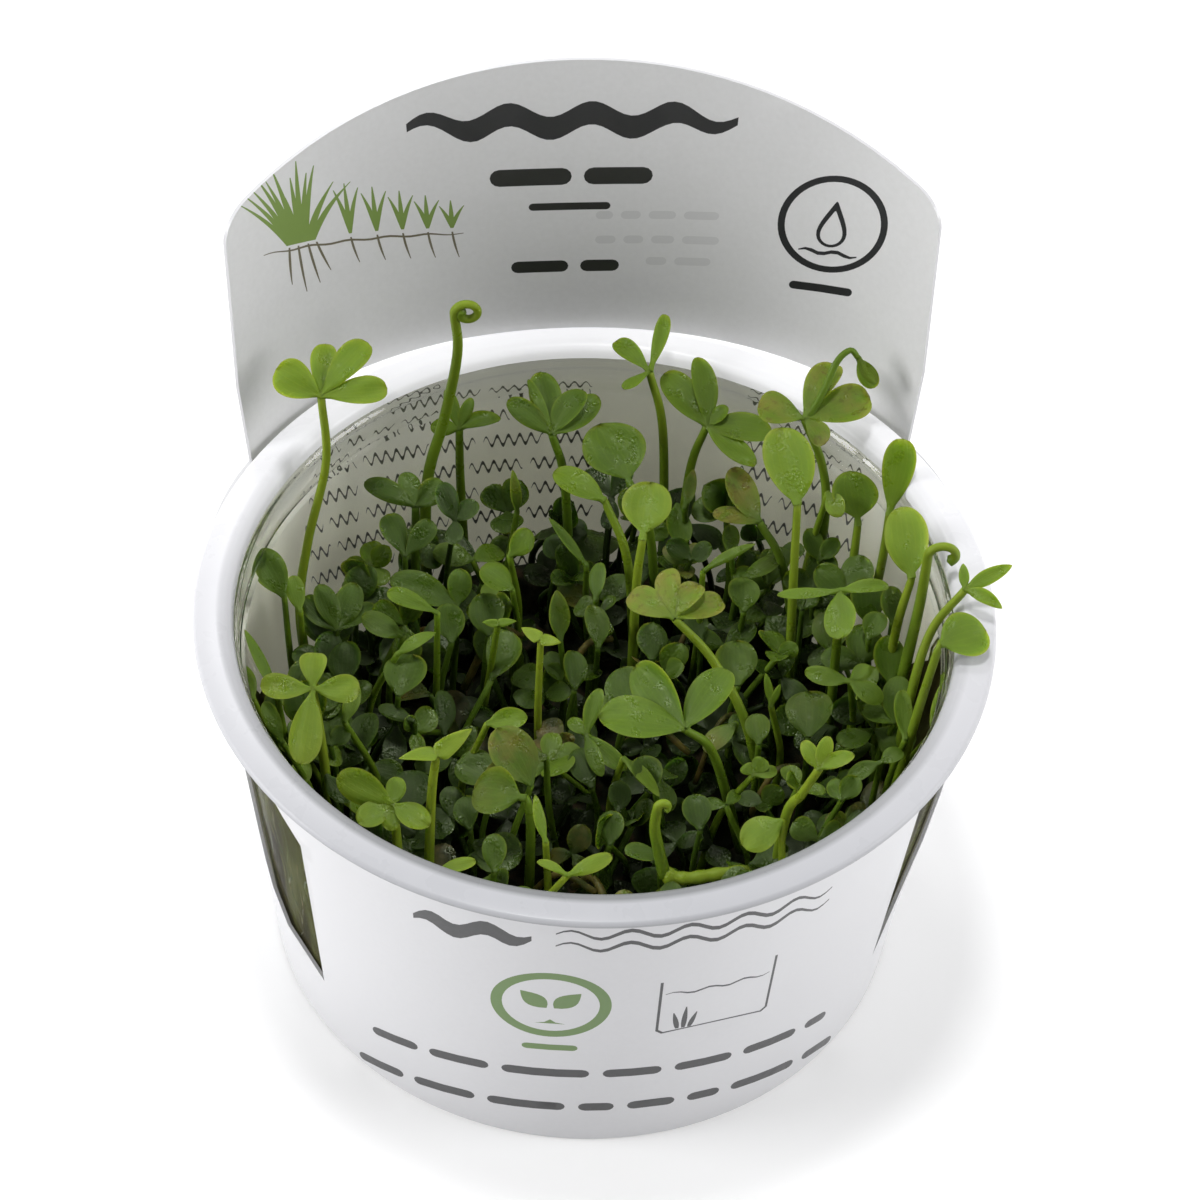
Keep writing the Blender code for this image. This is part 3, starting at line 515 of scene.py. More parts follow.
# Size of the fibres in the card, in features per metre, and how strongly they show in relief
FIBRE = 1500.0
FIBRE_BUMP = (0.08, 0.05 * MM)
LEAF_STOPS = (
    (0.0, (0.006, 0.011, 0.002)),
    (0.25, (0.023, 0.047, 0.004)),
    (0.5, (0.063, 0.115, 0.007)),
    (0.75, (0.124, 0.201, 0.011)),
    (1.0, (0.215, 0.280, 0.018)),
)
VEIN_DENSITY = 46.0
# Near-black colours of the tangle's bed: painted shade for the depth of the tangle
BED_SHADE_STOPS = ((0.3, (0.003, 0.004, 0.002)), (0.5, (0.010, 0.013, 0.005)), (0.7, (0.034, 0.021, 0.010)))
FILM_STOPS = ((0.32, (0.020, 0.016, 0.005)), (0.46, (0.041, 0.038, 0.012)),
              (0.58, (0.062, 0.066, 0.020)), (0.74, (0.110, 0.115, 0.048)))


def clear_plastic(name, index, ripple, gloss):
    """Thin clear moulded plastic with fine scratches and upright ripples."""
    look = Look(name, (0.985, 0.99, 0.985), 0.04, Transmission_Weight=1.0, IOR=index,
                Coat_Weight=gloss, Coat_Roughness=0.04)
    look.feed("Roughness", look.mapped(look.noise(900.0, 4.0), 0.3, 0.7, 0.02, 0.07))
    look.bump(look.noise(260.0, 3.0, look.place((1.0, 1.0, 0.12))), ripple, 0.4 * MM)
    return look.material


def milky_plastic():
    """The flange: milky plastic with painted light, lighter and glowing towards the back, and painted shade
    at its inner edge, strongest at the front, and along its lower lip.
    """
    look = Look("milky plastic", (0.88, 0.88, 0.91), 0.32, IOR=1.3, Emission_Strength=0.42)
    cloud = look.noise(260.0)
    _, back, height = look.axes(look.place())
    # Painted light: lighter towards the back than the front, with a little random cloud
    back_light_and_cloud = look.plus(look.mapped(back, -42.0 * MM, 0.0), look.mapped(cloud, 0.3, 0.7, -0.03, 0.03))
    away = look.add("VectorMath", operation="LENGTH")
    look.give(away.inputs[0], look.place((1.0, 1.0, 0.0)))
    radius = away.outputs["Value"]
    # Painted shade along the flange's inner edge, strongest at the front
    inner = look.times(look.mapped(radius, 41.6 * MM, 42.3 * MM, 1.0, 0.0),
                       look.mapped(back_light_and_cloud, 0.0, 1.0, 0.60, 0.10))
    # Painted shade along the lower lip of the outer edge
    lip = look.times(look.mapped(height, CUP_HEIGHT - 0.95 * MM, CUP_HEIGHT - 0.62 * MM, 0.30, 0.0),
                     look.mapped(radius, 43.4 * MM, 44.2 * MM))
    white = look.mixed(back_light_and_cloud, (0.47, 0.475, 0.50), (0.64, 0.64, 0.665))
    look.feed("Base Color", look.mixed(look.plus(inner, lip), white, (0.06, 0.065, 0.06)))
    # Painted glow towards the back
    look.feed("Emission Color", look.mixed(look.mapped(back, 0.0, 38.0 * MM), BLACK, WHITE))
    look.feed("Roughness", look.mapped(cloud, 0.3, 0.7, 0.25, 0.32))
    return look.material


def coated(name, colour, roughness=0.34, mottle=0.03):
    """Coated card or ink on it: faint fibre under a soft gloss."""
    look = Look(name, colour, roughness, Coat_Weight=0.25, Coat_Roughness=0.18)
    fibre = look.noise(FIBRE, 5.0)
    darker = tuple(channel * (1.0 - 2.0 * mottle) for channel in colour)
    look.feed("Base Color", look.mixed(fibre, darker, colour))
    look.feed("Roughness", look.mapped(fibre, 0.3, 0.7, roughness - 0.05, roughness + 0.06))
    look.bump(fibre, *FIBRE_BUMP)
    return look.material


def card_back():
    """The card's inner face: the same card in its own lighter tone as painted light, lighter and yellower
    below the rim from a damp stain and painted light, with a painted glow where the cup shades it.
    """
    look = Look("card inside", CARD_INSIDE_PAINTED_LIGHT, 0.42, Emission_Strength=CARD_PAINTED_GLOW)
    height = look.axes(look.place())["Z"]
    fibre = look.noise(FIBRE, 5.0)
    # Lighter and yellower below the rim, in blotches: a damp stain and painted light
    blotched = look.plus(height, look.times(look.noise(60.0), 12.0 * MM))
    base = look.mixed(look.mapped(blotched, 36.0 * MM, 56.0 * MM, 1.0, 0.0), CARD_INSIDE_PAINTED_LIGHT, CARD_STAIN_AND_PAINTED_LIGHT)
    # Painted glow below the rim, where the cup shades the card's inner face
    painted_glow_share = look.mapped(height, 44.0 * MM, 51.0 * MM, 1.0, 0.0)
    look.feed("Emission Color", look.mixed(painted_glow_share, BLACK, CARD_STAIN_AND_PAINTED_LIGHT))
    look.feed("Base Color", look.mixed(look.mapped(fibre, 0.3, 0.7, 0.0, 0.08), base, (0.4, 0.4, 0.38)))
    look.bump(fibre, *FIBRE_BUMP)
    return look.material


def leaf_green(name, roughness, index, dry):
    """Leaf tissue: tone, brown spots and edges from the tint, fan veins from the leaf's own map."""
    look = Look(name, (0.1, 0.3, 0.03), roughness, IOR=index, Specular_Tint=(0.90, 1.0, 0.72, 1.0),
                Subsurface_Weight=0.35, Subsurface_Radius=(0.7, 1.0, 0.2), Subsurface_Scale=1.2 * MM)
    tint = look.add("SeparateColor")
    look.give(tint.inputs[0], look.add("Attribute", attribute_name="tint").outputs["Color"])
    tone, brown, edge = tint.outputs
    across = look.axes(look.add("UVMap", uv_map="leaf").outputs["UV"])["Y"]
    veins = look.mapped(look.calc("SINE", look.times(across, VEIN_DENSITY), 0.0), 0.5, 1.0, 0.0, 0.035)
    cloud = look.mapped(look.noise(420.0, 4.0), 0.3, 0.7, -0.035, 0.035)
    shade = look.plus(look.plus(look.plus(tone, cloud), veins), look.times(edge, 0.07))
    stain = look.times(brown, look.mapped(look.noise(520.0), 0.36, 0.62, 0.15, 0.95))
    spots = look.times(brown, look.mapped(look.noise(1500.0, 4.0), 0.56, 0.66, 0.0, 0.75))
    colour = look.mixed(stain, look.ramp(shade, LEAF_STOPS), (0.21, 0.145, 0.035))
    look.feed("Base Color", look.mixed(spots, colour, (0.075, 0.032, 0.012)))
    fine = look.calc("SUBTRACT", look.noise(2600.0), 0.5)
    drops = look.noise(480.0, 2.0)
    wet = look.mapped(drops, dry, dry + 0.10)
    look.feed("Roughness", look.mapped(wet, 0.0, 1.0, roughness, 0.16))
    grain = look.times(fine, look.mapped(wet, 0.0, 1.0, 0.7, 3.8))
    look.bump(look.plus(look.plus(grain, drops), look.times(veins, 3.0)), 0.6, 0.09 * MM)
    return look.material


def jelly_material():
    look = Look("nutrient jelly", (0.62, 0.60, 0.42), 0.08, Transmission_Weight=0.65, IOR=1.34)
    look.feed("Base Color", look.mixed(look.noise(120.0), (0.50, 0.48, 0.30), (0.70, 0.68, 0.50)))
    look.bump(look.noise(200.0, 2.0), 0.2, 0.4 * MM)
    return look.material


def bed_material():
    look = Look("dark tangle", (0.02, 0.03, 0.01), 0.8, IOR=1.2)
    patches = look.noise(500.0, 5.0)
    # The bed's near-black colour is painted shade
    look.feed("Base Color", look.ramp(patches, BED_SHADE_STOPS))
    look.bump(patches, 0.8, 0.8 * MM)
    return look.material


def film_material():
    """Roots and algae pressed flat on the wall: olive and brown in upright streaks."""
    look = Look("wall growth", (0.08, 0.08, 0.04), 0.9, IOR=1.05)
    streaks = look.noise(330.0, 4.0, look.place((1.0, 1.0, 0.22)))
    look.feed("Base Color", look.ramp(streaks, FILM_STOPS))
    look.bump(streaks, 0.3, 0.3 * MM)
    return look.material


def floor_material():
    look = Look("pale floor", (0.72, 0.72, 0.72), 0.7, Emission_Color=(1.0, 1.0, 1.0, 1.0),
                Emission_Strength=0.3)
    look.feed("Base Color", look.mixed(look.noise(12.0, 2.0), (0.715, 0.715, 0.72), (0.725, 0.725, 0.725)))
    return look.material


# Shared forms

def link(name, mesh, *materials):
    piece = bpy.data.objects.new(name, mesh)
    bpy.context.scene.collection.objects.link(piece)
    for material in materials:
        mesh.materials.append(material)
    return piece


def finish_piece(piece, slot, *nodes):
    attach(piece, "root")
    if nodes:
        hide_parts(*nodes)


def built(name, bm, sharp=None, outward=True):
    """The mesh of a finished bmesh, smooth but for edges sharper than an angle in degrees."""
    if outward:
        bmesh.ops.recalc_face_normals(bm, faces=bm.faces)
    mesh = bpy.data.meshes.new(name)
    bm.to_mesh(mesh)
    bm.free()
    mesh.shade_smooth()
    if sharp is not None:
        mesh.set_sharp_from_angle(angle=radians(sharp))
    return mesh


def ring_point(turn, radius, height):
    return Vector((radius * sin(turn), radius * cos(turn), height))


def turned_mesh(name, profile, steps, sharp=40.0):
    """A shape turned round Z from (radius, height) points, first and last on the axis."""
    bm = bmesh.new()
    rings = []
    for radius, height in profile:
        if radius == 0.0:
            rings.append([bm.verts.new((0.0, 0.0, height))] * steps)
        else:
            rings.append([bm.verts.new(ring_point(TURN * i / steps, radius, height)) for i in range(steps)])
    for upper, lower in zip(rings, rings[1:]):
        for i in range(steps):
            j = (i + 1) % steps
            bm.faces.new(list(dict.fromkeys((upper[i], upper[j], lower[j], lower[i]))))
    return built(name, bm, sharp)


def smooth_path(points, count):
    """Points evenly spread in parameter on a Catmull-Rom curve through the given ones."""
    ends = [points[0] * 2.0 - points[1]] + points + [points[-1] * 2.0 - points[-2]]
    spans = len(points) - 1
    path = []
    for i in range(count):
        place = i * spans / (count - 1)
        span = min(int(place), spans - 1)
        t = place - span
        a, b, c, d = ends[span:span + 4]
        path.append(0.5 * ((2.0 * b) + (c - a) * t + (2.0 * a - 5.0 * b + 4.0 * c - d) * t * t
                           + (3.0 * b - a - 3.0 * c + d) * t ** 3))
    return path


class Tissue:
    """A mesh of plant tissue in the making, with its tint and its leaf map."""

    def __init__(self):
        self.bm = bmesh.new()
        self.tint = self.bm.verts.layers.float_color.new("tint")
        self.map = self.bm.loops.layers.uv.new("leaf")

    def vertex(self, place, tone, brown=0.0, edge=0.0):
        vert = self.bm.verts.new(place)
        vert[self.tint] = (min(max(tone, 0.0), 1.0), brown, edge, 1.0)
        return vert

    def face(self, corners, places=None):
        unique = list(dict.fromkeys(corners))
        if len(unique) < 3:
            return
        face = self.bm.faces.new(unique)
        if places is not None:
            where = dict(zip(corners, places))
            for loop in face.loops:
                loop[self.map].uv = where[loop.vert]

    def piece(self, name, material):
        return link(name, built(name, self.bm), material)


def add_tube(tissue, path, radii, tones, sides=STALK_SIDES, brown=0.0):
    """A closed tube along a path, with its ends drawn in to a point."""
    tangents = [(b - a).normalized() for a, b in zip(path, path[1:])]
    tangents.append(tangents[-1])
    across = tangents[0].orthogonal().normalized()
    rings = []
    for point, tangent, radius, tone in zip(path, tangents, radii, tones):
        across = (across - tangent * across.dot(tangent)).normalized()
        other = tangent.cross(across)
        ring = []
        for i in range(sides):
            turn = TURN * i / sides
            out = across * cos(turn) + other * sin(turn)
            ring.append(tissue.vertex(point + out * radius, tone, brown))
        rings.append(ring)
    for lower, upper in zip(rings, rings[1:]):
        for i in range(sides):
            j = (i + 1) % sides
            tissue.face([lower[i], lower[j], upper[j], upper[i]])
    for end, way in ((0, -tangents[0]), (-1, tangents[-1])):
        middle = tissue.vertex(path[end] + way * radii[end] * 0.6, tones[end], brown)
        for i in range(sides):
            tissue.face([rings[end][i], rings[end][(i + 1) % sides], middle])


def half_width(share, outline):
    """The outline's half width, from 0 to 1, at a share of the leaflet's length."""
    neck, widest, widening, blunt = OUTLINES[outline]
    share = max(share - neck, 0.0) / (1.0 - neck)
    if share < widest:
        return sin(0.5 * pi * share / widest) ** widening
    over = (share - widest) / (1.0 - widest)
    return max(1.0 - over * over, 0.0) ** blunt


def leaflet_axis(azimuth, elevation):
    flat = cos(radians(elevation))
    turn = radians(azimuth)
    return Vector((flat * cos(turn), flat * sin(turn), sin(radians(elevation))))


def add_leaflet(tissue, hub, leaflet, outline, tone, brown, form, rows=13, columns=8, foot=0.38):
    """One leaflet: a thin lens of tissue, cupped, arched and waved, with a fine edge."""
    azimuth, elevation, length, width = leaflet
    axis = leaflet_axis(azimuth, elevation)
    side = axis.cross(BLADE_LEAN).normalized()
    normal = side.cross(axis).normalized()
    twist = Matrix.Rotation(form["twist"], 3, axis)
    side, normal = twist @ side, twist @ normal
    length *= MM
    half = 0.5 * width * MM
    foot *= MM
    sheets = ([], [])
    for row in range(rows + 1):
        share = 1.0 - (1.0 - row / rows) ** 1.35
        spread = max(half * half_width(share, outline), foot * (1.0 - share) ** 2)
        body = (0.15 + 0.9 * foot / MM * (1.0 - share) ** 6) * MM
        rise = form["arch"] * length * share * (1.0 - share) - form["droop"] * length * share * share
        centre = hub + axis * length * share + normal * rise + side * form["bend"] * length * share * share
        for sheet, away in zip(sheets, (1.0, -1.0)):
            line = []
            for column in range(columns + 1):
                over = -1.0 + 2.0 * column / columns
                lift = spread * over * over * (form["cup"] + form["skew"] * over)
                lift += half * form["wave"] * sin(7.0 * share + 4.0 * over + form["phase"]) * share
                thick = body * (1.0 - over ** 4) * min(1.0, 6.0 * (1.0 - share))
                place = centre + side * spread * over + normal * (lift + away * thick)
                rim = max(abs(over) ** 5, share ** 9)
                near = 1.0 - BASE_SHADE * (1.0 - share)
                line.append(tissue.vertex(place, tone * near, brown * share, rim))
            sheet.append(line)
    for sheet in sheets:
        for row in range(rows):
            for column in range(columns):
                spots = ((row, column), (row, column + 1), (row + 1, column + 1), (row + 1, column))
                tissue.face([sheet[r][c] for r, c in spots], [(r / rows, c / columns) for r, c in spots])


def leaf_form(rng):
    return {name: rng.uniform(low, high) for name, (low, high) in LEAF_FORMS.items()}


def millimetres(point):
    return Vector([value * MM for value in point])


def add_stalk(tissue, stalk, tone, thickness=1.0, foot_height=TALL_FOOT, into=None):
    """A stalk from down in the tangle to its hub and, for a single leaf, on into its base."""
    points = [millimetres((*stalk[0], foot_height))] + [millimetres(point) for point in stalk[1:]]
    path = smooth_path(points, STALK_RINGS)
    radii = []
    tones = []
    tip = tone * (1.0 - BASE_SHADE)
    for i in range(STALK_RINGS):
        share = i / (STALK_RINGS - 1)
        radii.append((STALK_FOOT_RADIUS + (STALK_TIP_RADIUS - STALK_FOOT_RADIUS) * share) * thickness)
        # Painted shade: darker towards the foot, down in the tangle
        tones.append(tip * (0.97 + 0.30 * min(1.0, share * 1.8)))
    if into is not None:
        for reach in (0.5, 1.0, 1.5):
            path.append(path[-1] + into * 0.5 * MM)
            radii.append(STALK_TIP_RADIUS * thickness * (1.0 - 0.4 * reach))
            tones.append(tip)
    add_tube(tissue, path, radii, tones)


# The cup and the jelly

def fade(value, start, end):
    """1 up to start, falling smoothly to 0 at end."""
    share = min(max((value - start) / (end - start), 0.0), 1.0)
    return 0.5 + 0.5 * cos(pi * share)


def wrapped(angle):
    return (angle + pi) % TURN - pi


def inner_wall(height):
    return WALL_RADIUS_AT_BASE + WALL_TAPER * height


def wall_swell(turn, height):
    """How far the cup's wall is pressed out towards the card behind each window."""
    near = max(fade(abs(wrapped(turn - middle)), PRESSED_FULL, PRESSED_END) for middle in WINDOW_MIDDLES)
    upright = fade(height, 39.0 * MM, 44.6 * MM) * (1.0 - fade(height, 3.0 * MM, 10.0 * MM))
    face = card_radius(turn + CARD_TURN, height) - CARD_THICKNESS - PRESSED_GAP - WALL_THICKNESS
    return max(face - inner_wall(height), 0.0) * near * upright


def wall_point(turn, height, depth):
    """A point at a depth outwards from the wall's inner face."""
    return ring_point(turn, inner_wall(height) + wall_swell(turn, height) + depth, height)


def rounded(points, radius):
    """The profile with each inner corner cut by a short arc of three points."""
    result = [points[0]]
    for before, corner, after in zip(points, points[1:], points[2:]):
        before, corner, after = Vector(before), Vector(corner), Vector(after)
        cut = min(radius, 0.4 * (corner - before).length, 0.4 * (after - corner).length)
        start = corner + (before - corner).normalized() * cut
        end = corner + (after - corner).normalized() * cut
        middle = start * 0.25 + corner * 0.5 + end * 0.25
        result += [tuple(start), tuple(middle), tuple(end)]
    return result + [points[-1]]


def offset(shape, radius, height):
    return [(radius + out * MM, height + up * MM) for out, up in shape]


def make_cup(*materials):
    seat = inner_wall(SEAT_HEIGHT)
    profile = [
        (0.0, FLOOR_THICKNESS),
        (WALL_RADIUS_AT_BASE - 0.3 * MM, FLOOR_THICKNESS),
        (inner_wall(2.2 * MM), 2.2 * MM),
        *[(inner_wall(height), height) for height in WALL_RUNGS],
        *offset(NECK, seat, SEAT_HEIGHT),
        *offset(MOUTH, seat, CUP_HEIGHT),
        *offset(LIP, RIM_RADIUS, CUP_HEIGHT),
        *offset(UNDERSIDE, seat, CUP_HEIGHT),
        *[(inner_wall(height) + WALL_THICKNESS, height) for height in reversed(WALL_RUNGS)],
        (inner_wall(1.1 * MM) + WALL_THICKNESS, 1.1 * MM),
        (WALL_RADIUS_AT_BASE + 0.1 * MM, 0.0),
        (0.0, 0.0),
    ]
    mesh = turned_mesh("growing_cup", rounded(profile, ROUNDING), CUP_STEPS, 50.0)
    for vert in mesh.vertices:
        x, y, height = vert.co
        radius = hypot(x, y)
        if radius > PRESSED_RADIUS:
            share = 1.0 + wall_swell(atan2(x, y), height) / radius
            vert.co = (x * share, y * share, height)
    piece = link("growing_cup", mesh, *materials)
    for face in mesh.polygons:
        middle = face.center
        if middle.z > CUP_HEIGHT - 2.0 * MM and hypot(middle.x, middle.y) > seat + NECK_SPREAD:
            face.material_index = 2
        elif middle.z > SEAT_HEIGHT - 0.6 * MM:
            face.material_index = 1
    finish_piece(piece, "clear_cup", "cup")


def make_jelly(material):
    profile = [
        (0.0, JELLY_TOP - 0.3 * MM),
        (inner_wall(JELLY_TOP) - 3.0 * MM, JELLY_TOP - 0.3 * MM),
        (inner_wall(JELLY_TOP) - JELLY_GAP, JELLY_TOP),
        (inner_wall(3.0 * MM) - JELLY_GAP, 3.0 * MM),
        (WALL_RADIUS_AT_BASE - 0.9 * MM, FLOOR_THICKNESS + GAP),
        (0.0, FLOOR_THICKNESS + GAP),
    ]
    mesh = turned_mesh("nutrient_jelly", rounded(profile, 0.5 * MM), JELLY_STEPS)
    finish_piece(link("nutrient_jelly", mesh, material), "jelly", "jelly")


# The card, as a flat shape of (angle, height)

def card_radius(angle, height):
    """The card's outer face: the cup's cone, leaning out towards the panel at the back."""
    away = abs(wrapped(angle))
    cone = CARD_RADIUS_AT_BASE + WALL_TAPER * height
    rise = max((height - PANEL_START) / (CUP_HEIGHT - PANEL_START), 0.0)
    flare = 0.5 - 0.5 * cos(pi * min(away / PANEL_FLARE_ANGLE, 1.0))
    grown = rise ** 3 if rise < 1.0 else 1.0 + 0.6 * (rise - 1.0)
    hug = fade(away, PANEL_FLARE_ANGLE, HUG_END)
    swell = fade(abs(wrapped(angle - SIDE_SWELL_MIDDLE)), 0.0, SIDE_SWELL_REACH)
    cone += SIDE_SWELL * swell * (1.0 - fade(height, PANEL_START, SIDE_SWELL_TOP))
    return cone + hug * (PANEL_LEAN * rise + PANEL_FLARE * flare * grown)


def card_point(angle, height, depth=0.0):
    return ring_point(angle - CARD_TURN, card_radius(angle, height) - depth, height)


def angle_at(half_width_there, height):
    """The angle at which the card is that far from the panel's middle line."""
    angle = 0.0
    for _ in range(8):
        angle = asin(half_width_there / card_radius(angle, height))
    return angle


def panel_edge():
    """The panel's outline from its right foot over the arch."""
    middle = CARD_TOP + 0.35 * (PANEL_SHOULDER - CARD_TOP)
    bulge = PANEL_HALF_WIDTH + 0.6 * (PANEL_HALF_WIDTH_TOP - PANEL_HALF_WIDTH)
    outline = [(PANEL_HALF_WIDTH, CARD_TOP), (bulge, middle)]
    centre = PANEL_HALF_WIDTH_TOP - PANEL_CORNER
    for step in range(PANEL_CORNER_STEPS + 1):
        turn = PANEL_CORNER_TURN * step / PANEL_CORNER_STEPS
        outline.append((centre + PANEL_CORNER * cos(turn), PANEL_SHOULDER + PANEL_CORNER * sin(turn)))
    reach, corner_top = outline[-1]
    for step in range(1, PANEL_ARCH_STEPS):
        share = 1.0 - step / PANEL_ARCH_STEPS
        outline.append((reach * share, PANEL_TOP - (PANEL_TOP - corner_top) * share * share))
    edge = [(angle_at(width, height), height) for width, height in outline]
    return edge + [(0.0, PANEL_TOP)] + [(-angle, height) for angle, height in reversed(edge)]


def card_outline():
    """The whole card, from the seam once round."""
    panel = panel_edge()
    reach = panel[0][0] + 0.01
    bottom = [(CARD_SEAM + TURN * i / CARD_STEPS, CARD_BOTTOM) for i in range(CARD_STEPS + 1)]
    top = [(angle, CARD_TOP) for angle, _ in reversed(bottom)]
    return bottom + [p for p in top if p[0] > reach] + panel + [p for p in top if p[0] < -reach]


def window(front_angle, side, outline):
    return [((front_angle - side * radians(turn)) % TURN, height * MM) for turn, height in outline]


def slot():
    ends = SLOT_HALF_ANGLE
    lower = [(-ends + 2.0 * ends * i / SLOT_STEPS, SLOT_BOTTOM) for i in range(SLOT_STEPS + 1)]
    return lower + [(angle, SLOT_TOP) for angle, _ in reversed(lower)]


# Printed shapes, each drawn in millimetres about its own middle, +x to the reader's right

def bar(start, end, low, high, step=3.0):
    """A bar with rounded ends."""
    radius = 0.5 * (high - low)
    middle = 0.5 * (high + low)
    spans = max(int((end - start) / step), 1)
    xs = [start + radius + (end - start - 2.0 * radius) * i / spans for i in range(spans + 1)]
    turns = [radians(30.0 * i) for i in range(1, 6)]
    right = [(xs[-1] + radius * sin(t), middle - radius * cos(t)) for t in turns]
    left = [(xs[0] - radius * sin(t), middle + radius * cos(t)) for t in turns]
    return [(x, low) for x in xs] + right + [(x, high) for x in reversed(xs)] + left


def circle(radius, steps):
    return [(radius * cos(TURN * i / steps), radius * sin(TURN * i / steps)) for i in range(steps)]


def ribbon(start, end, y, swing, length, thickness, lift=0.0, step=0.8):
    """A ribbon along a sine wave, drawn in a little at both ends."""
    steps = int((end - start) / step)
    top = []
    low = []
    for i in range(steps + 1):
        x = start + (end - start) * i / steps
        middle = y + swing * sin(TURN * (x - start) / length) + lift * (x - start)
        taper = min(1.0, 0.35 + 3.0 * min(i, steps - i) / steps)
        top.append((x, middle + 0.5 * thickness * taper))
        low.append((x, middle - 0.5 * thickness * taper))
    return low + list(reversed(top))


def grass(x, y, lean, height, width, curl, steps=9):
    """A slim grass blade from its foot, bending over to one side."""
    left = []
    right = []
    for i in range(steps + 1):
        share = i / steps
        middle = x + lean * share + curl * share * share
        half = 0.5 * width * sin(pi * (0.12 + 0.86 * share) ** 0.8) + 0.05
        left.append((middle - half, y + height * share))
        right.append((middle + half, y + height * share))
    return right + list(reversed(left))


def drop(y, size, steps=28):
    """A falling water drop."""
    points = []
    for i in range(steps):
        turn = TURN * i / steps
        pull = 0.5 * (1.0 + sin(turn))
        points.append((size * 0.62 * cos(turn) * (1.0 - 0.75 * pull ** 2),
                       y + size * (sin(turn) * 0.75 + 0.35 * pull ** 3)))
    return points


def leaf_shape(x, y, length, width, turn, steps=8):
    """A pointed leaf from its foot at (x, y)."""
    out = [(i / steps * length, 0.5 * width * sin(pi * (i / steps) ** 0.85)) for i in range(steps + 1)]
    back = [(along, -half) for along, half in reversed(out[1:-1])]
    c, s = cos(radians(turn)), sin(radians(turn))
    return [(x + c * px - s * py, y + s * px + c * py) for px, py in out + back]


def words(rng, start, end, half, shortest, longest, space):
    """A row of bars of uneven length."""
    bars = []
    x = start
    while x < end - shortest:
        reach = min(x + rng.uniform(shortest, longest), end)
        bars.append(bar(x, reach, -half, half))
        x = reach + space
    return bars


def anticlockwise(loop):
    turned = sum(ax * by - bx * ay for (ax, ay), (bx, by) in zip(loop, loop[1:] + loop[:1]))
    return loop if turned > 0.0 else list(reversed(loop))


class Print:
    """Ink shapes on the flat card: the skin, the ink, and the outer loop with its holes."""

    def __init__(self):
        self.shapes = []

    def at(self, skin, angle, height):
        """The next shapes are drawn about this angle, and this height in millimetres."""
        self.skin, self.angle, self.height = skin, angle, height * MM

    def placed(self, loop):
        radius = card_radius(self.angle, self.height)
        result = []
        for x, y in loop:
            if self.skin == "outer":
                there = self.angle - x * MM / radius
                bend = -FRONT_SAG * (there - pi) ** 2
            else:
                there = self.angle + x * MM / radius
                bend = PANEL_RISE * there * there
            result.append((there, self.height + y * MM + bend))
        return result

    def draw(self, ink, *loops):
        self.shapes.append((self.skin, ink, [self.placed(loop) for loop in loops]))


def front_print(ink):
    """Waves, a sprout in a ring, a plain tank and two rows of bars on the front."""
    ink.at("outer", pi, 43.2)
    ink.draw("grey", ribbon(-22.8, -9.2, 0.0, 0.9, 6.8, 2.7))
    for y in (1.3, -1.1):
        ink.draw("grey", ribbon(-6.6, 25.6, y, 0.8, 6.4, 0.75))
    ink.at("outer", pi + radians(9.8), 29.8)
    ink.draw("green", circle(6.7, 56), circle(5.4, 48))
    ink.draw("green", bar(-0.5, 0.5, -3.9, 0.6, 1.0))
    ink.draw("green", leaf_shape(0.4, -0.6, 4.4, 2.5, 48.0))
    ink.draw("green", leaf_shape(-0.4, -0.6, 4.4, 2.5, 132.0))
    ink.draw("green", bar(-3.2, 3.2, -9.6, -8.4))
    ink.at("outer", pi - radians(17.2), 29.0)
    line = 0.33
    ink.draw("grey", [
        (-6.9, 5.0), (-6.9, -5.2), (-6.2, -5.9), (6.2, -5.9), (6.9, -5.2), (6.9, 5.6),
        (6.9 - line, 5.6), (6.9 - line, -5.0), (6.0, -5.9 + line), (-6.0, -5.9 + line),
        (-6.9 + line, -5.0), (-6.9 + line, 5.0)])
    ink.draw("grey", ribbon(-6.2, 6.2, 2.4, 0.3, 4.1, line))
    for x, lean, tall in ((-4.4, -0.5, 3.4), (-3.7, 0.1, 4.4), (-3.0, 0.6, 3.0)):
        ink.draw("grey", grass(x, -5.2, lean, tall, 0.55, 0.2 * lean))
    rng = random.Random(11)
    for height, reach in ((15.2, 29.0), (7.7, 31.5)):
        ink.at("outer", pi, height)
        for shape in words(rng, -reach, reach, 0.85, 3.4, 10.5, 1.5):
            ink.draw("grey", shape)


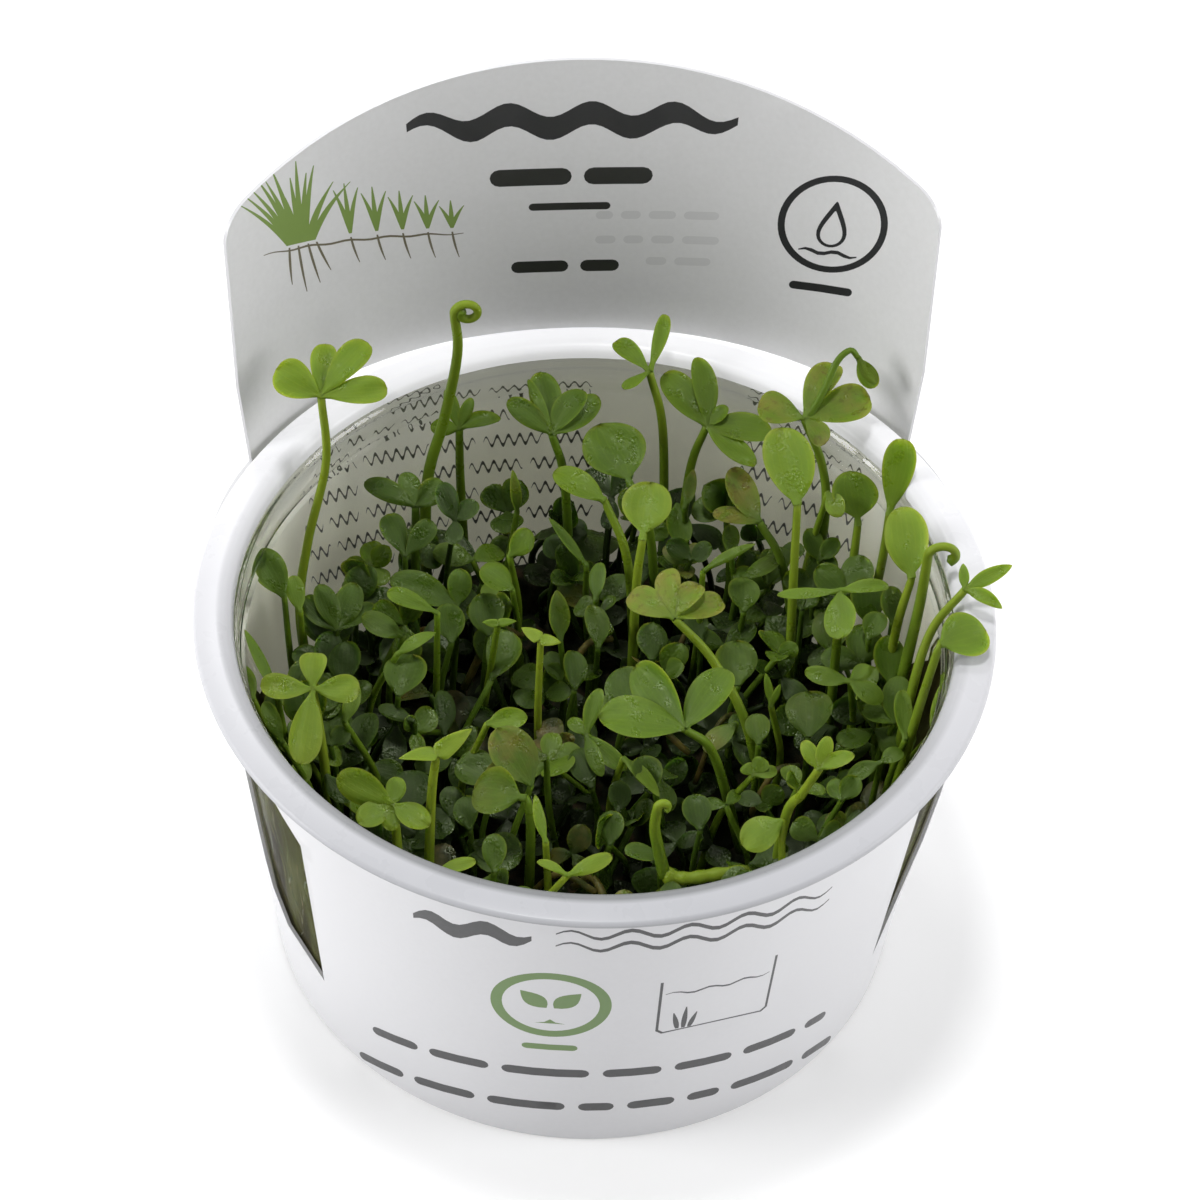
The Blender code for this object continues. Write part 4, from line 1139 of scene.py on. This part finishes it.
def panel_print(ink):
    """A broad wave, name bars, a tuft of blades on a runner, and a drop in a ring."""
    ink.at("inner", 0.0, 79.9)
    ink.draw("grey", ribbon(-19.6, 18.4, 0.0, 1.0, 9.5, 3.1))
    for height, start, end, half in (
            (72.4, -10.0, -0.4, 1.15), (72.4, 1.0, 9.0, 1.15), (68.3, -5.4, 4.2, 0.5),
            (60.0, -7.4, -0.6, 0.8), (60.0, 0.8, 5.4, 0.8)):
        ink.at("inner", 0.0, height)
        ink.draw("black", bar(start, end, -half, half))
    rng = random.Random(31)
    for height, start in ((67.0, 2.5), (63.6, 2.5), (60.6, 8.5)):
        ink.at("inner", 0.0, height)
        for shape in words(rng, start, 17.5, 0.55, 2.0, 5.0, 0.9):
            ink.draw("ghost", shape)
    ink.at("inner", radians(-40.0), 66.8)
    rng = random.Random(5)
    for i in range(15):
        share = i / 14.0 - 0.5
        tall = rng.uniform(6.5, 11.5) * (1.0 - 0.5 * abs(share))
        ink.draw("sage", grass(3.4 * share, 0.0, 6.0 * share, tall, 0.62, 5.0 * share))
    for i, x in enumerate((6.4, 9.7, 12.9, 16.0, 19.0)):
        tall = 6.8 - 0.75 * i
        for lean in (-0.7, 0.0, 0.8):
            ink.draw("sage", grass(x, -0.2 * i, lean, tall - abs(lean), 0.5, lean))
        ink.draw("brown", grass(x, -0.5 - 0.2 * i, 0.3, -3.6, 0.2, 0.4))
    for x, tall in ((-1.6, -5.0), (-0.4, -6.4), (0.9, -5.6), (2.0, -4.2)):
        ink.draw("brown", grass(x, -0.3, 0.5 * x, tall, 0.24, 0.3))
    ink.draw("brown", ribbon(-5.2, 20.4, -0.4, 0.12, 5.0, 0.28, -0.05))
    ink.at("inner", radians(36.6), 67.2)
    ink.draw("grey", circle(6.6, 56), circle(5.75, 48))
    ink.draw("grey", drop(-0.6, 3.4), drop(-0.9, 2.5))
    ink.draw("grey", ribbon(-3.6, 3.6, -3.9, 0.25, 3.6, 0.5))
    ink.draw("grey", bar(-4.0, 4.0, -9.4, -8.3))


def inside_print(ink):
    """Rows of thin zigzags on the card's inner face, seen through the cup's back wall."""
    rng = random.Random(23)
    for row in range(8):
        ink.at("inner", 0.0, 42.6 - 3.75 * row)
        for start, end in ((-36.0, 3.0), (20.0, 38.0)):
            x = start + rng.uniform(0.0, 3.0)
            while x < end - 2.0:
                reach = min(x + rng.uniform(2.6, 9.0), end)
                ink.draw("faint", ribbon(x, reach, 0.0, 0.70, 1.4, 0.58, step=0.12))
                x = reach + 1.0


def make_sleeve(materials):
    """The flat card with its print cut in, bent round the cup, with both skins and its edges."""
    ink = Print()
    for print_part in (front_print, panel_print, inside_print):
        print_part(ink)
    loops = [card_outline(), window(WINDOW_LEFT, -1.0, WINDOW_SHAPE_LEFT),
             window(WINDOW_RIGHT, 1.0, WINDOW_SHAPE_RIGHT), slot()]
    holes = range(1, len(loops))
    roles = []
    for skin, name, shape in ink.shapes:
        roles.append((skin, name, len(loops), range(len(loops) + 1, len(loops) + len(shape))))
        loops += shape
    scale = CARD_RADIUS_AT_BASE
    points = []
    faces = []
    for loop in loops:
        faces.append(list(range(len(points), len(points) + len(loop))))
        points += [Vector((angle * scale, height)) for angle, height in anticlockwise(loop)]
    columns = [CARD_SEAM + CARD_COLUMN * i for i in range(1, CARD_STEPS)]
    for row in range(1, CARD_ROWS):
        height = CARD_BOTTOM + CARD_ROW * row
        on_panel = SLOT_TOP + MM < height < PANEL_SHOULDER
        points += [Vector((angle * scale, height)) for angle in columns
                   if height < CARD_TOP - MM or (on_panel and abs(angle) < PANEL_HALF_ANGLE)]
    flat, _, triangles, _, _, sources = delaunay_2d_cdt(points, [], faces, 0, 1e-7)
    kept = [(face, set(source)) for face, source in zip(triangles, sources)
            if 0 in source and not any(hole in source for hole in holes)]
    bm = bmesh.new()
    names = list(materials)
    skins = {}
    for skin, depth in (("outer", 0.0), ("inner", CARD_THICKNESS)):
        verts = skins[skin] = {}
        for face, source in kept:
            for i in face:
                if i not in verts:
                    verts[i] = bm.verts.new(card_point(flat[i].x / scale, flat[i].y, depth))
        for face, source in kept:
            made = bm.faces.new([verts[i] for i in (face if skin == "inner" else reversed(face))])
            if skin == "inner":
                made.material_index = names.index("inside")
            for role_skin, name, own, gaps in roles:
                if role_skin == skin and own in source and not source.intersection(gaps):
                    made.material_index = names.index(name)
    rims = {}
    for face, _ in kept:
        for a, b in zip(face, face[1:] + face[:1]):
            key = (min(a, b), max(a, b))
            rims[key] = None if key in rims else (a, b)
    outer, inner = skins["outer"], skins["inner"]
    for a, b in filter(None, rims.values()):
        bm.faces.new([outer[a], outer[b], inner[b], inner[a]])
    bmesh.ops.remove_doubles(bm, verts=bm.verts, dist=MERGED)
    mesh = built("printed_sleeve", bm, 50.0)
    finish_piece(link("printed_sleeve", mesh, *materials.values()), "card", "sleeve")


# The tangle

def make_bed(material):
    """The bottom of the tangle, lumpy and close-packed, coloured near black as painted shade."""
    bm = bmesh.new()
    bmesh.ops.create_icosphere(bm, subdivisions=6, radius=1.0)
    rng = random.Random(3)
    lumps = [(rng.uniform(0.0, 1.0) ** 0.5 * 33.0, rng.uniform(0.0, 6.28), rng.uniform(1.5, 5.0))
             for _ in range(BED_LUMPS)]
    for vert in bm.verts:
        x, y, z = vert.co
        flat = hypot(x, y)
        height = JELLY_TOP + GAP if z < 0.0 else BED_TOP - 2.0 * MM
        radius = 0.0
        if flat > 0.0:
            radius = min(flat ** 0.55, 1.0) * (inner_wall(height) - 0.6 * MM)
            x, y = x / flat * radius, y / flat * radius
        if z >= 0.0:
            lift = 0.0
            for away, turn, size in lumps:
                gone = hypot(x / MM - away * cos(turn), y / MM - away * sin(turn))
                lift = max(lift, size * fade(gone, 0.0, LUMP_REACH))
            height += lift * min(1.0, z * 4.0) * MM + BED_RISE * fade(TANGLE_RADIUS - radius, 0.0, 9.0 * MM)
        vert.co = (x, y, height)
    mesh = built("tangle_bed", bm, outward=False)
    finish_piece(link("tangle_bed", mesh, material), "undergrowth", "undergrowth")


def hero_points():
    """Points along every tall frond's leaflets, for the tangle to keep clear of."""
    tall = [(stalk[-1], leaflets) for stalk, leaflets, *_ in FRONDS.values()]
    small = [(row[2:5], row[5]) for row in SMALL_FRONDS]
    points = []
    for place, leaflets in tall + small:
        for azimuth, elevation, length, width in leaflets:
            axis = leaflet_axis(azimuth, elevation)
            for share in (0.0, 0.4, 0.8, 1.0):
                points.append((millimetres(place) + axis * length * MM * share, 0.5 * width * MM))
    return points


def ceiling(points, x, y):
    """The height below which a small leaf keeps clear of every tall frond."""
    near = [point.z for point, half in points if hypot(point.x - x, point.y - y) < half + CLEARANCE]
    return min([CEILING] + [height - CLEARANCE for height in near])


def add_small_frond(leaves, stalks, rng, hub, tone, brown, size, number, tilt):
    """A small frond of one to four leaflets on a thin stalk that leans up from the bed."""
    x, y = hub.x, hub.y
    kind = rng.choice(("fan", "egg", "round", "round", "egg"))
    first = rng.uniform(0.0, 360.0)
    for k in range(number):
        azimuth = first + k * 360.0 / max(number, 3) + rng.uniform(-18.0, 18.0)
        length = size * rng.uniform(0.85, 1.12)
        turn = radians(azimuth)
        tip = hypot(x + length * MM * cos(turn), y + length * MM * sin(turn))
        if tip > inner_wall(hub.z) - 1.0 * MM:
            azimuth = degrees(atan2(-y, -x)) + rng.uniform(-75.0, 75.0)
        leaflet = (azimuth, rng.uniform(*tilt), length, length * rng.uniform(0.5, 0.92))
        add_leaflet(leaves, hub, leaflet, kind, tone + rng.uniform(-0.05, 0.05), brown,
                    leaf_form(rng), rows=10, columns=6, foot=0.24)
    lean = rng.uniform(1.0, 9.0) * MM
    way = rng.uniform(0.0, TURN)
    foot = Vector((x + lean * cos(way), y + lean * sin(way), SMALL_FOOT * MM))
    away = hypot(foot.x, foot.y)
    if away > TANGLE_RADIUS - MM:
        foot *= (TANGLE_RADIUS - MM) / away
        foot.z = SMALL_FOOT * MM
    sway = Vector((rng.uniform(-2.2, 2.2), rng.uniform(-2.2, 2.2), 0.0)) * MM
    path = smooth_path([foot, (foot + hub) * 0.5 + sway, hub], SMALL_RINGS)
    thick = rng.uniform(0.30, 0.46) * MM
    # Painted shade: darker towards the foot, down in the tangle
    tones = [tone * (0.45 + 0.85 * k / (SMALL_RINGS - 1)) for k in range(SMALL_RINGS)]
    add_tube(stalks, path, [thick] * SMALL_RINGS, tones, sides=7)


def make_tangle(leaf_material, stalk_material):
    """Small fronds crowded through the cup in storeys, the lowest coloured nearly black as painted shade."""
    rng = random.Random(41)
    heroes = hero_points()
    leaves = Tissue()
    stalks = Tissue()
    for count, inside, (low, high), tones, tilt in STOREYS:
        for i in range(count):
            radius = TANGLE_RADIUS * max(0.97 * sqrt((i + 0.5) / count), inside)
            turn = i * GOLDEN_ANGLE + low + rng.uniform(-0.2, 0.2)
            x, y = radius * cos(turn), radius * sin(turn)
            sides = abs(cos(turn)) * radius / TANGLE_RADIUS
            height = (rng.uniform(low, high) + SIDE_RISE * sides * sides) * MM
            height = min(height, ceiling(heroes, x, y))
            tone = rng.uniform(*tones) + SIDE_TONE * sides * sides
            # A leaf pushed under its storey is darkened as painted shade
            if height < low * MM:
                tone *= UNDER_PAINTED_SHADE
            number = rng.choice((1, 1, 2, 3, 3, 4))
            size = rng.uniform(3.0, 5.2) if number > 1 else rng.uniform(3.8, 6.2)
            brown = rng.uniform(0.4, 0.8) if rng.random() < BROWNING else 0.0
            add_small_frond(leaves, stalks, rng, Vector((x, y, height)), tone, brown, size, number, tilt)
    for foot, tip, crown in OLD_STALKS:
        foot, tip = millimetres(foot), millimetres(tip)
        bow = (foot + tip) * 0.5
        bow.z = crown * MM
        thick = rng.uniform(0.34, 0.52) * MM
        add_tube(stalks, smooth_path([foot, bow, tip], OLD_RINGS), [thick] * OLD_RINGS,
                 [OLD_TONE] * OLD_RINGS, sides=8, brown=rng.uniform(0.40, 0.55))
    finish_piece(leaves.piece("tangle_leaves", leaf_material), "undergrowth")
    finish_piece(stalks.piece("tangle_stalks", stalk_material), "undergrowth")


def make_strands(material):
    """Pale roots and old stalks pressed against the cup's wall, seen through the windows."""
    rng = random.Random(8)
    strands = Tissue()
    for i in range(STRANDS):
        turn = WINDOW_MIDDLES[i % 2] + radians(rng.uniform(-STRAND_REACH, STRAND_REACH))
        low = rng.uniform(12.6, 28.0)
        high = min(low + rng.uniform(8.0, 20.0), 42.0)
        points = []
        for k in range(4):
            height = (low + (high - low) * k / 3.0) * MM
            swing = turn + rng.uniform(-0.04, 0.04)
            points.append(wall_point(swing, height, rng.uniform(0.2, 0.42) * MM))
        tone = rng.uniform(0.08, 0.4)
        brown = rng.uniform(0.0, 0.6)
        thick = rng.uniform(0.1, 0.2) * MM
        add_tube(strands, smooth_path(points, STRAND_RINGS), [thick] * STRAND_RINGS,
                 [tone] * STRAND_RINGS, sides=6, brown=brown)
    finish_piece(strands.piece("wall_strands", material), "undergrowth")


def film_sheet(bm, middle, depth):
    """One face of the lining, as columns of vertices from its bottom to its ragged top."""
    sheet = []
    for column in range(FILM_COLUMNS + 1):
        aside = -FILM_REACH + 2.0 * FILM_REACH * column / FILM_COLUMNS
        ragged = 1.3 * sin(column * 0.31) + 0.9 * sin(column * 0.73 + middle)
        top = (FILM_TOP + FILM_RISE * fade(abs(aside), 19.0, 34.0) + 0.5 * ragged) * MM
        line = []
        for row in range(FILM_ROWS + 1):
            height = FILM_BOTTOM + (top - FILM_BOTTOM) * row / FILM_ROWS
            dent = 0.04 * MM * (1.0 + sin(column * 1.7 + row * 0.5))
            line.append(bm.verts.new(wall_point(middle + radians(aside), height, depth - dent)))
        sheet.append(line)
    return sheet


def make_film(material):
    """A thin uneven lining inside the cup behind each window."""
    bm = bmesh.new()
    for middle in WINDOW_MIDDLES:
        outer, inner = [film_sheet(bm, middle, depth) for depth in (FILM_OUTER, FILM_INNER)]
        for sheet in (outer, inner):
            for one, other in zip(sheet, sheet[1:]):
                for row in range(FILM_ROWS):
                    bm.faces.new([one[row], other[row], other[row + 1], one[row + 1]])
        sides = [(outer[0], inner[0]), (outer[-1], inner[-1])]
        ends = [([line[row] for line in outer], [line[row] for line in inner]) for row in (0, FILM_ROWS)]
        for line, inside in sides + ends:
            for i in range(len(line) - 1):
                bm.faces.new([line[i], line[i + 1], inside[i + 1], inside[i]])
    finish_piece(link("wall_film", built("wall_film", bm), material), "undergrowth")


# The fronds

def make_fronds(leaf_material, stalk_material):
    rng = random.Random(77)
    for number, (stalk, leaflets, outline, tone, brown) in FRONDS.items():
        blades = Tissue()
        hub = millimetres(stalk[-1])
        single = len(leaflets) == 1
        for leaflet in leaflets:
            add_leaflet(blades, hub, leaflet, outline, tone + rng.uniform(-0.04, 0.04), brown,
                        leaf_form(rng), rows=19, columns=10, foot=0.5 if single else 0.4)
        finish_piece(blades.piece("blade_" + number, leaf_material), "leaf", "leaf_" + number)
        stem = Tissue()
        add_stalk(stem, stalk, tone, into=leaflet_axis(*leaflets[0][:2]) if single else None)
        finish_piece(stem.piece("stalk_" + number, stalk_material), "stem", "stem_" + number)
    blades = Tissue()
    stalks = Tissue()
    bud_path = smooth_path([millimetres(point) for point in BUD_STALK], BUD_RINGS)
    add_tube(stalks, bud_path, [(0.46 - 0.006 * i) * MM for i in range(BUD_RINGS)], [0.6] * BUD_RINGS)
    for leaflet in BUD_LEAFLETS:
        add_leaflet(blades, bud_path[-1], leaflet, "egg", 0.66, 0.15, leaf_form(random.Random(4)), foot=0.34)
    for foot_x, foot_y, x, y, z, leaflets, outline, tone, brown in SMALL_FRONDS:
        for leaflet in leaflets:
            add_leaflet(blades, millimetres((x, y, z)), leaflet, outline,
                        tone + rng.uniform(-0.03, 0.03), brown, leaf_form(rng), foot=0.34)
        bow_x, bow_y = rng.uniform(-1.2, 1.2), rng.uniform(-1.2, 1.2)
        middle = (0.6 * foot_x + 0.4 * x + bow_x, 0.6 * foot_y + 0.4 * y + bow_y, 0.5 * (z + 20.0))
        add_stalk(stalks, [(foot_x, foot_y), middle, (x, y, z)], tone, 0.62 + 0.25 * tone, SMALL_FOOT)
    finish_piece(blades.piece("small_blades", leaf_material), "leaf")
    finish_piece(stalks.piece("small_stalks", stalk_material), "stem")


def make_croziers(material):
    """The young fronds: a stalk whose end is rolled up in a closing curl."""
    for name, (stalk, curl_radius, turn, across) in CROZIERS.items():
        path = smooth_path([millimetres(point) for point in stalk], PATH_RINGS)
        way = Vector((*across, 0.0)).normalized()
        radius = curl_radius * MM
        centre = path[-1] + way * radius
        for i in range(1, CURL_RINGS + 1):
            share = i / CURL_RINGS
            swing = radians(180.0 - turn * share)
            reach = radius * (1.0 - 0.5 * share)
            path.append(centre + way * (reach * cos(swing)) + Vector((0.0, 0.0, reach * sin(swing))))
        radii = []
        tones = []
        for i in range(len(path)):
            share = i / (len(path) - 1)
            swollen = 1.0 + 0.35 * max(0.0, share - 0.8) / 0.2
            radii.append((0.74 - 0.24 * min(share * 1.8, 1.0)) * MM * swollen)
            tones.append(0.62 + 0.3 * min(share * 2.0, 1.0) - 0.2 * max(0.0, share - 0.75) / 0.25)
        tissue = Tissue()
        add_tube(tissue, path, radii, tones)
        finish_piece(tissue.piece("young_frond_" + name, material), "crozier", "crozier_" + name)


def make_rhizome(material):
    low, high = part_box("rhizome")
    level = 0.5 * (low[2] + high[2])
    path = smooth_path([Vector((x * MM, y * MM, level + RHIZOME_LIFT)) for x, y in RHIZOME], PATH_RINGS)
    radii = [RHIZOME_RADIUS * (0.92 + 0.08 * sin(i * 1.3) + 0.45 * fade(i, 0.0, 5.0))
             for i in range(PATH_RINGS)]
    tissue = Tissue()
    add_tube(tissue, path, radii, [0.9] * PATH_RINGS)
    finish_piece(tissue.piece("creeping_stem", material), "rhizome", "rhizome")


# Floor, light and camera

def make_stage(material):
    bm = bmesh.new()
    bmesh.ops.create_grid(bm, x_segments=2, y_segments=2, size=FLOOR_SIZE)
    mesh = built("floor", bm, outward=False)
    link("floor", mesh, material)


def make_light():
    """A pale studio, dim in front, with four soft boxes."""
    world = bpy.data.worlds.new("studio")
    world.use_nodes = True
    background = world.node_tree.nodes["Background"].inputs
    background["Color"].default_value = (1.0, 1.0, 1.0, 1.0)
    sky = Nodes(world.node_tree)
    way = sky.axes(sky.add("TexCoord").outputs["Generated"])
    level = sky.mapped(way["Y"], -0.85, -0.1, SKY_FRONT, SKY_ROUND)
    up = sky.mapped(way["Z"], 0.3, 0.95)
    around = sky.times(level, sky.calc("SUBTRACT", 1.0, up))
    sky.give(background["Strength"], sky.plus(around, sky.times(up, SKY_OVERHEAD)))
    bpy.context.scene.world = world
    for name, (place, size, power) in SOFT_BOXES.items():
        light = bpy.data.lights.new(name, "AREA")
        light.shape = "DISK"
        light.size = size
        light.energy = power
        item = bpy.data.objects.new(name, light)
        item.location = place
        item.rotation_euler = (SOFT_BOX_AIM - Vector(place)).to_track_quat("-Z", "Y").to_euler()
        bpy.context.scene.collection.objects.link(item)


def make_camera():
    data = bpy.data.cameras.new("camera")
    data.lens = CAMERA_LENS
    data.sensor_width = CAMERA_SENSOR
    item = bpy.data.objects.new("camera", data)
    ahead = Vector((0.0, cos(CAMERA_PITCH), -sin(CAMERA_PITCH)))
    right = Vector((1.0, 0.0, 0.0))
    up = right.cross(ahead)
    rolled_right = right * cos(CAMERA_ROLL) + up * sin(CAMERA_ROLL)
    rolled_up = up * cos(CAMERA_ROLL) - right * sin(CAMERA_ROLL)
    place = CAMERA_TARGET - ahead * CAMERA_DISTANCE
    turn = Matrix((rolled_right, rolled_up, -ahead)).transposed().to_4x4()
    item.matrix_world = Matrix.Translation(place) @ turn
    bpy.context.scene.collection.objects.link(item)
    bpy.context.scene.camera = item


make_camera()
make_light()
make_stage(floor_material())
bpy.context.scene.view_settings.view_transform = "Standard"

LEAF = leaf_green("leaf", 0.58, 1.40, 0.53)
TANGLE = leaf_green("wet leaf", 0.54, 1.46, 0.48)
STALK = leaf_green("stalk", 0.50, 1.36, 0.58)

make_cup(clear_plastic("thin clear plastic", 1.01, 0.3, 0.08),
         clear_plastic("clear plastic", 1.3, 0.25, 0.5), milky_plastic())
make_sleeve({
    "card": coated("white card", CARD_WHITE),
    "inside": card_back(),
    "grey": coated("grey ink", (0.018, 0.018, 0.021)),
    "black": coated("black ink", (0.02, 0.02, 0.02)),
    "green": coated("green ink", (0.10, 0.20, 0.03)),
    "sage": coated("sage ink", (0.20, 0.30, 0.07)),
    "brown": coated("brown ink", (0.16, 0.14, 0.09)),
    "faint": coated("small print ink", (0.15, 0.15, 0.12)),
    "ghost": coated("print showing through", (0.64, 0.64, 0.645), 0.42, 0.02),
})
make_jelly(jelly_material())
make_bed(bed_material())
make_strands(STALK)
make_film(film_material())
make_tangle(TANGLE, STALK)
make_fronds(LEAF, STALK)
make_croziers(STALK)
make_rhizome(STALK)
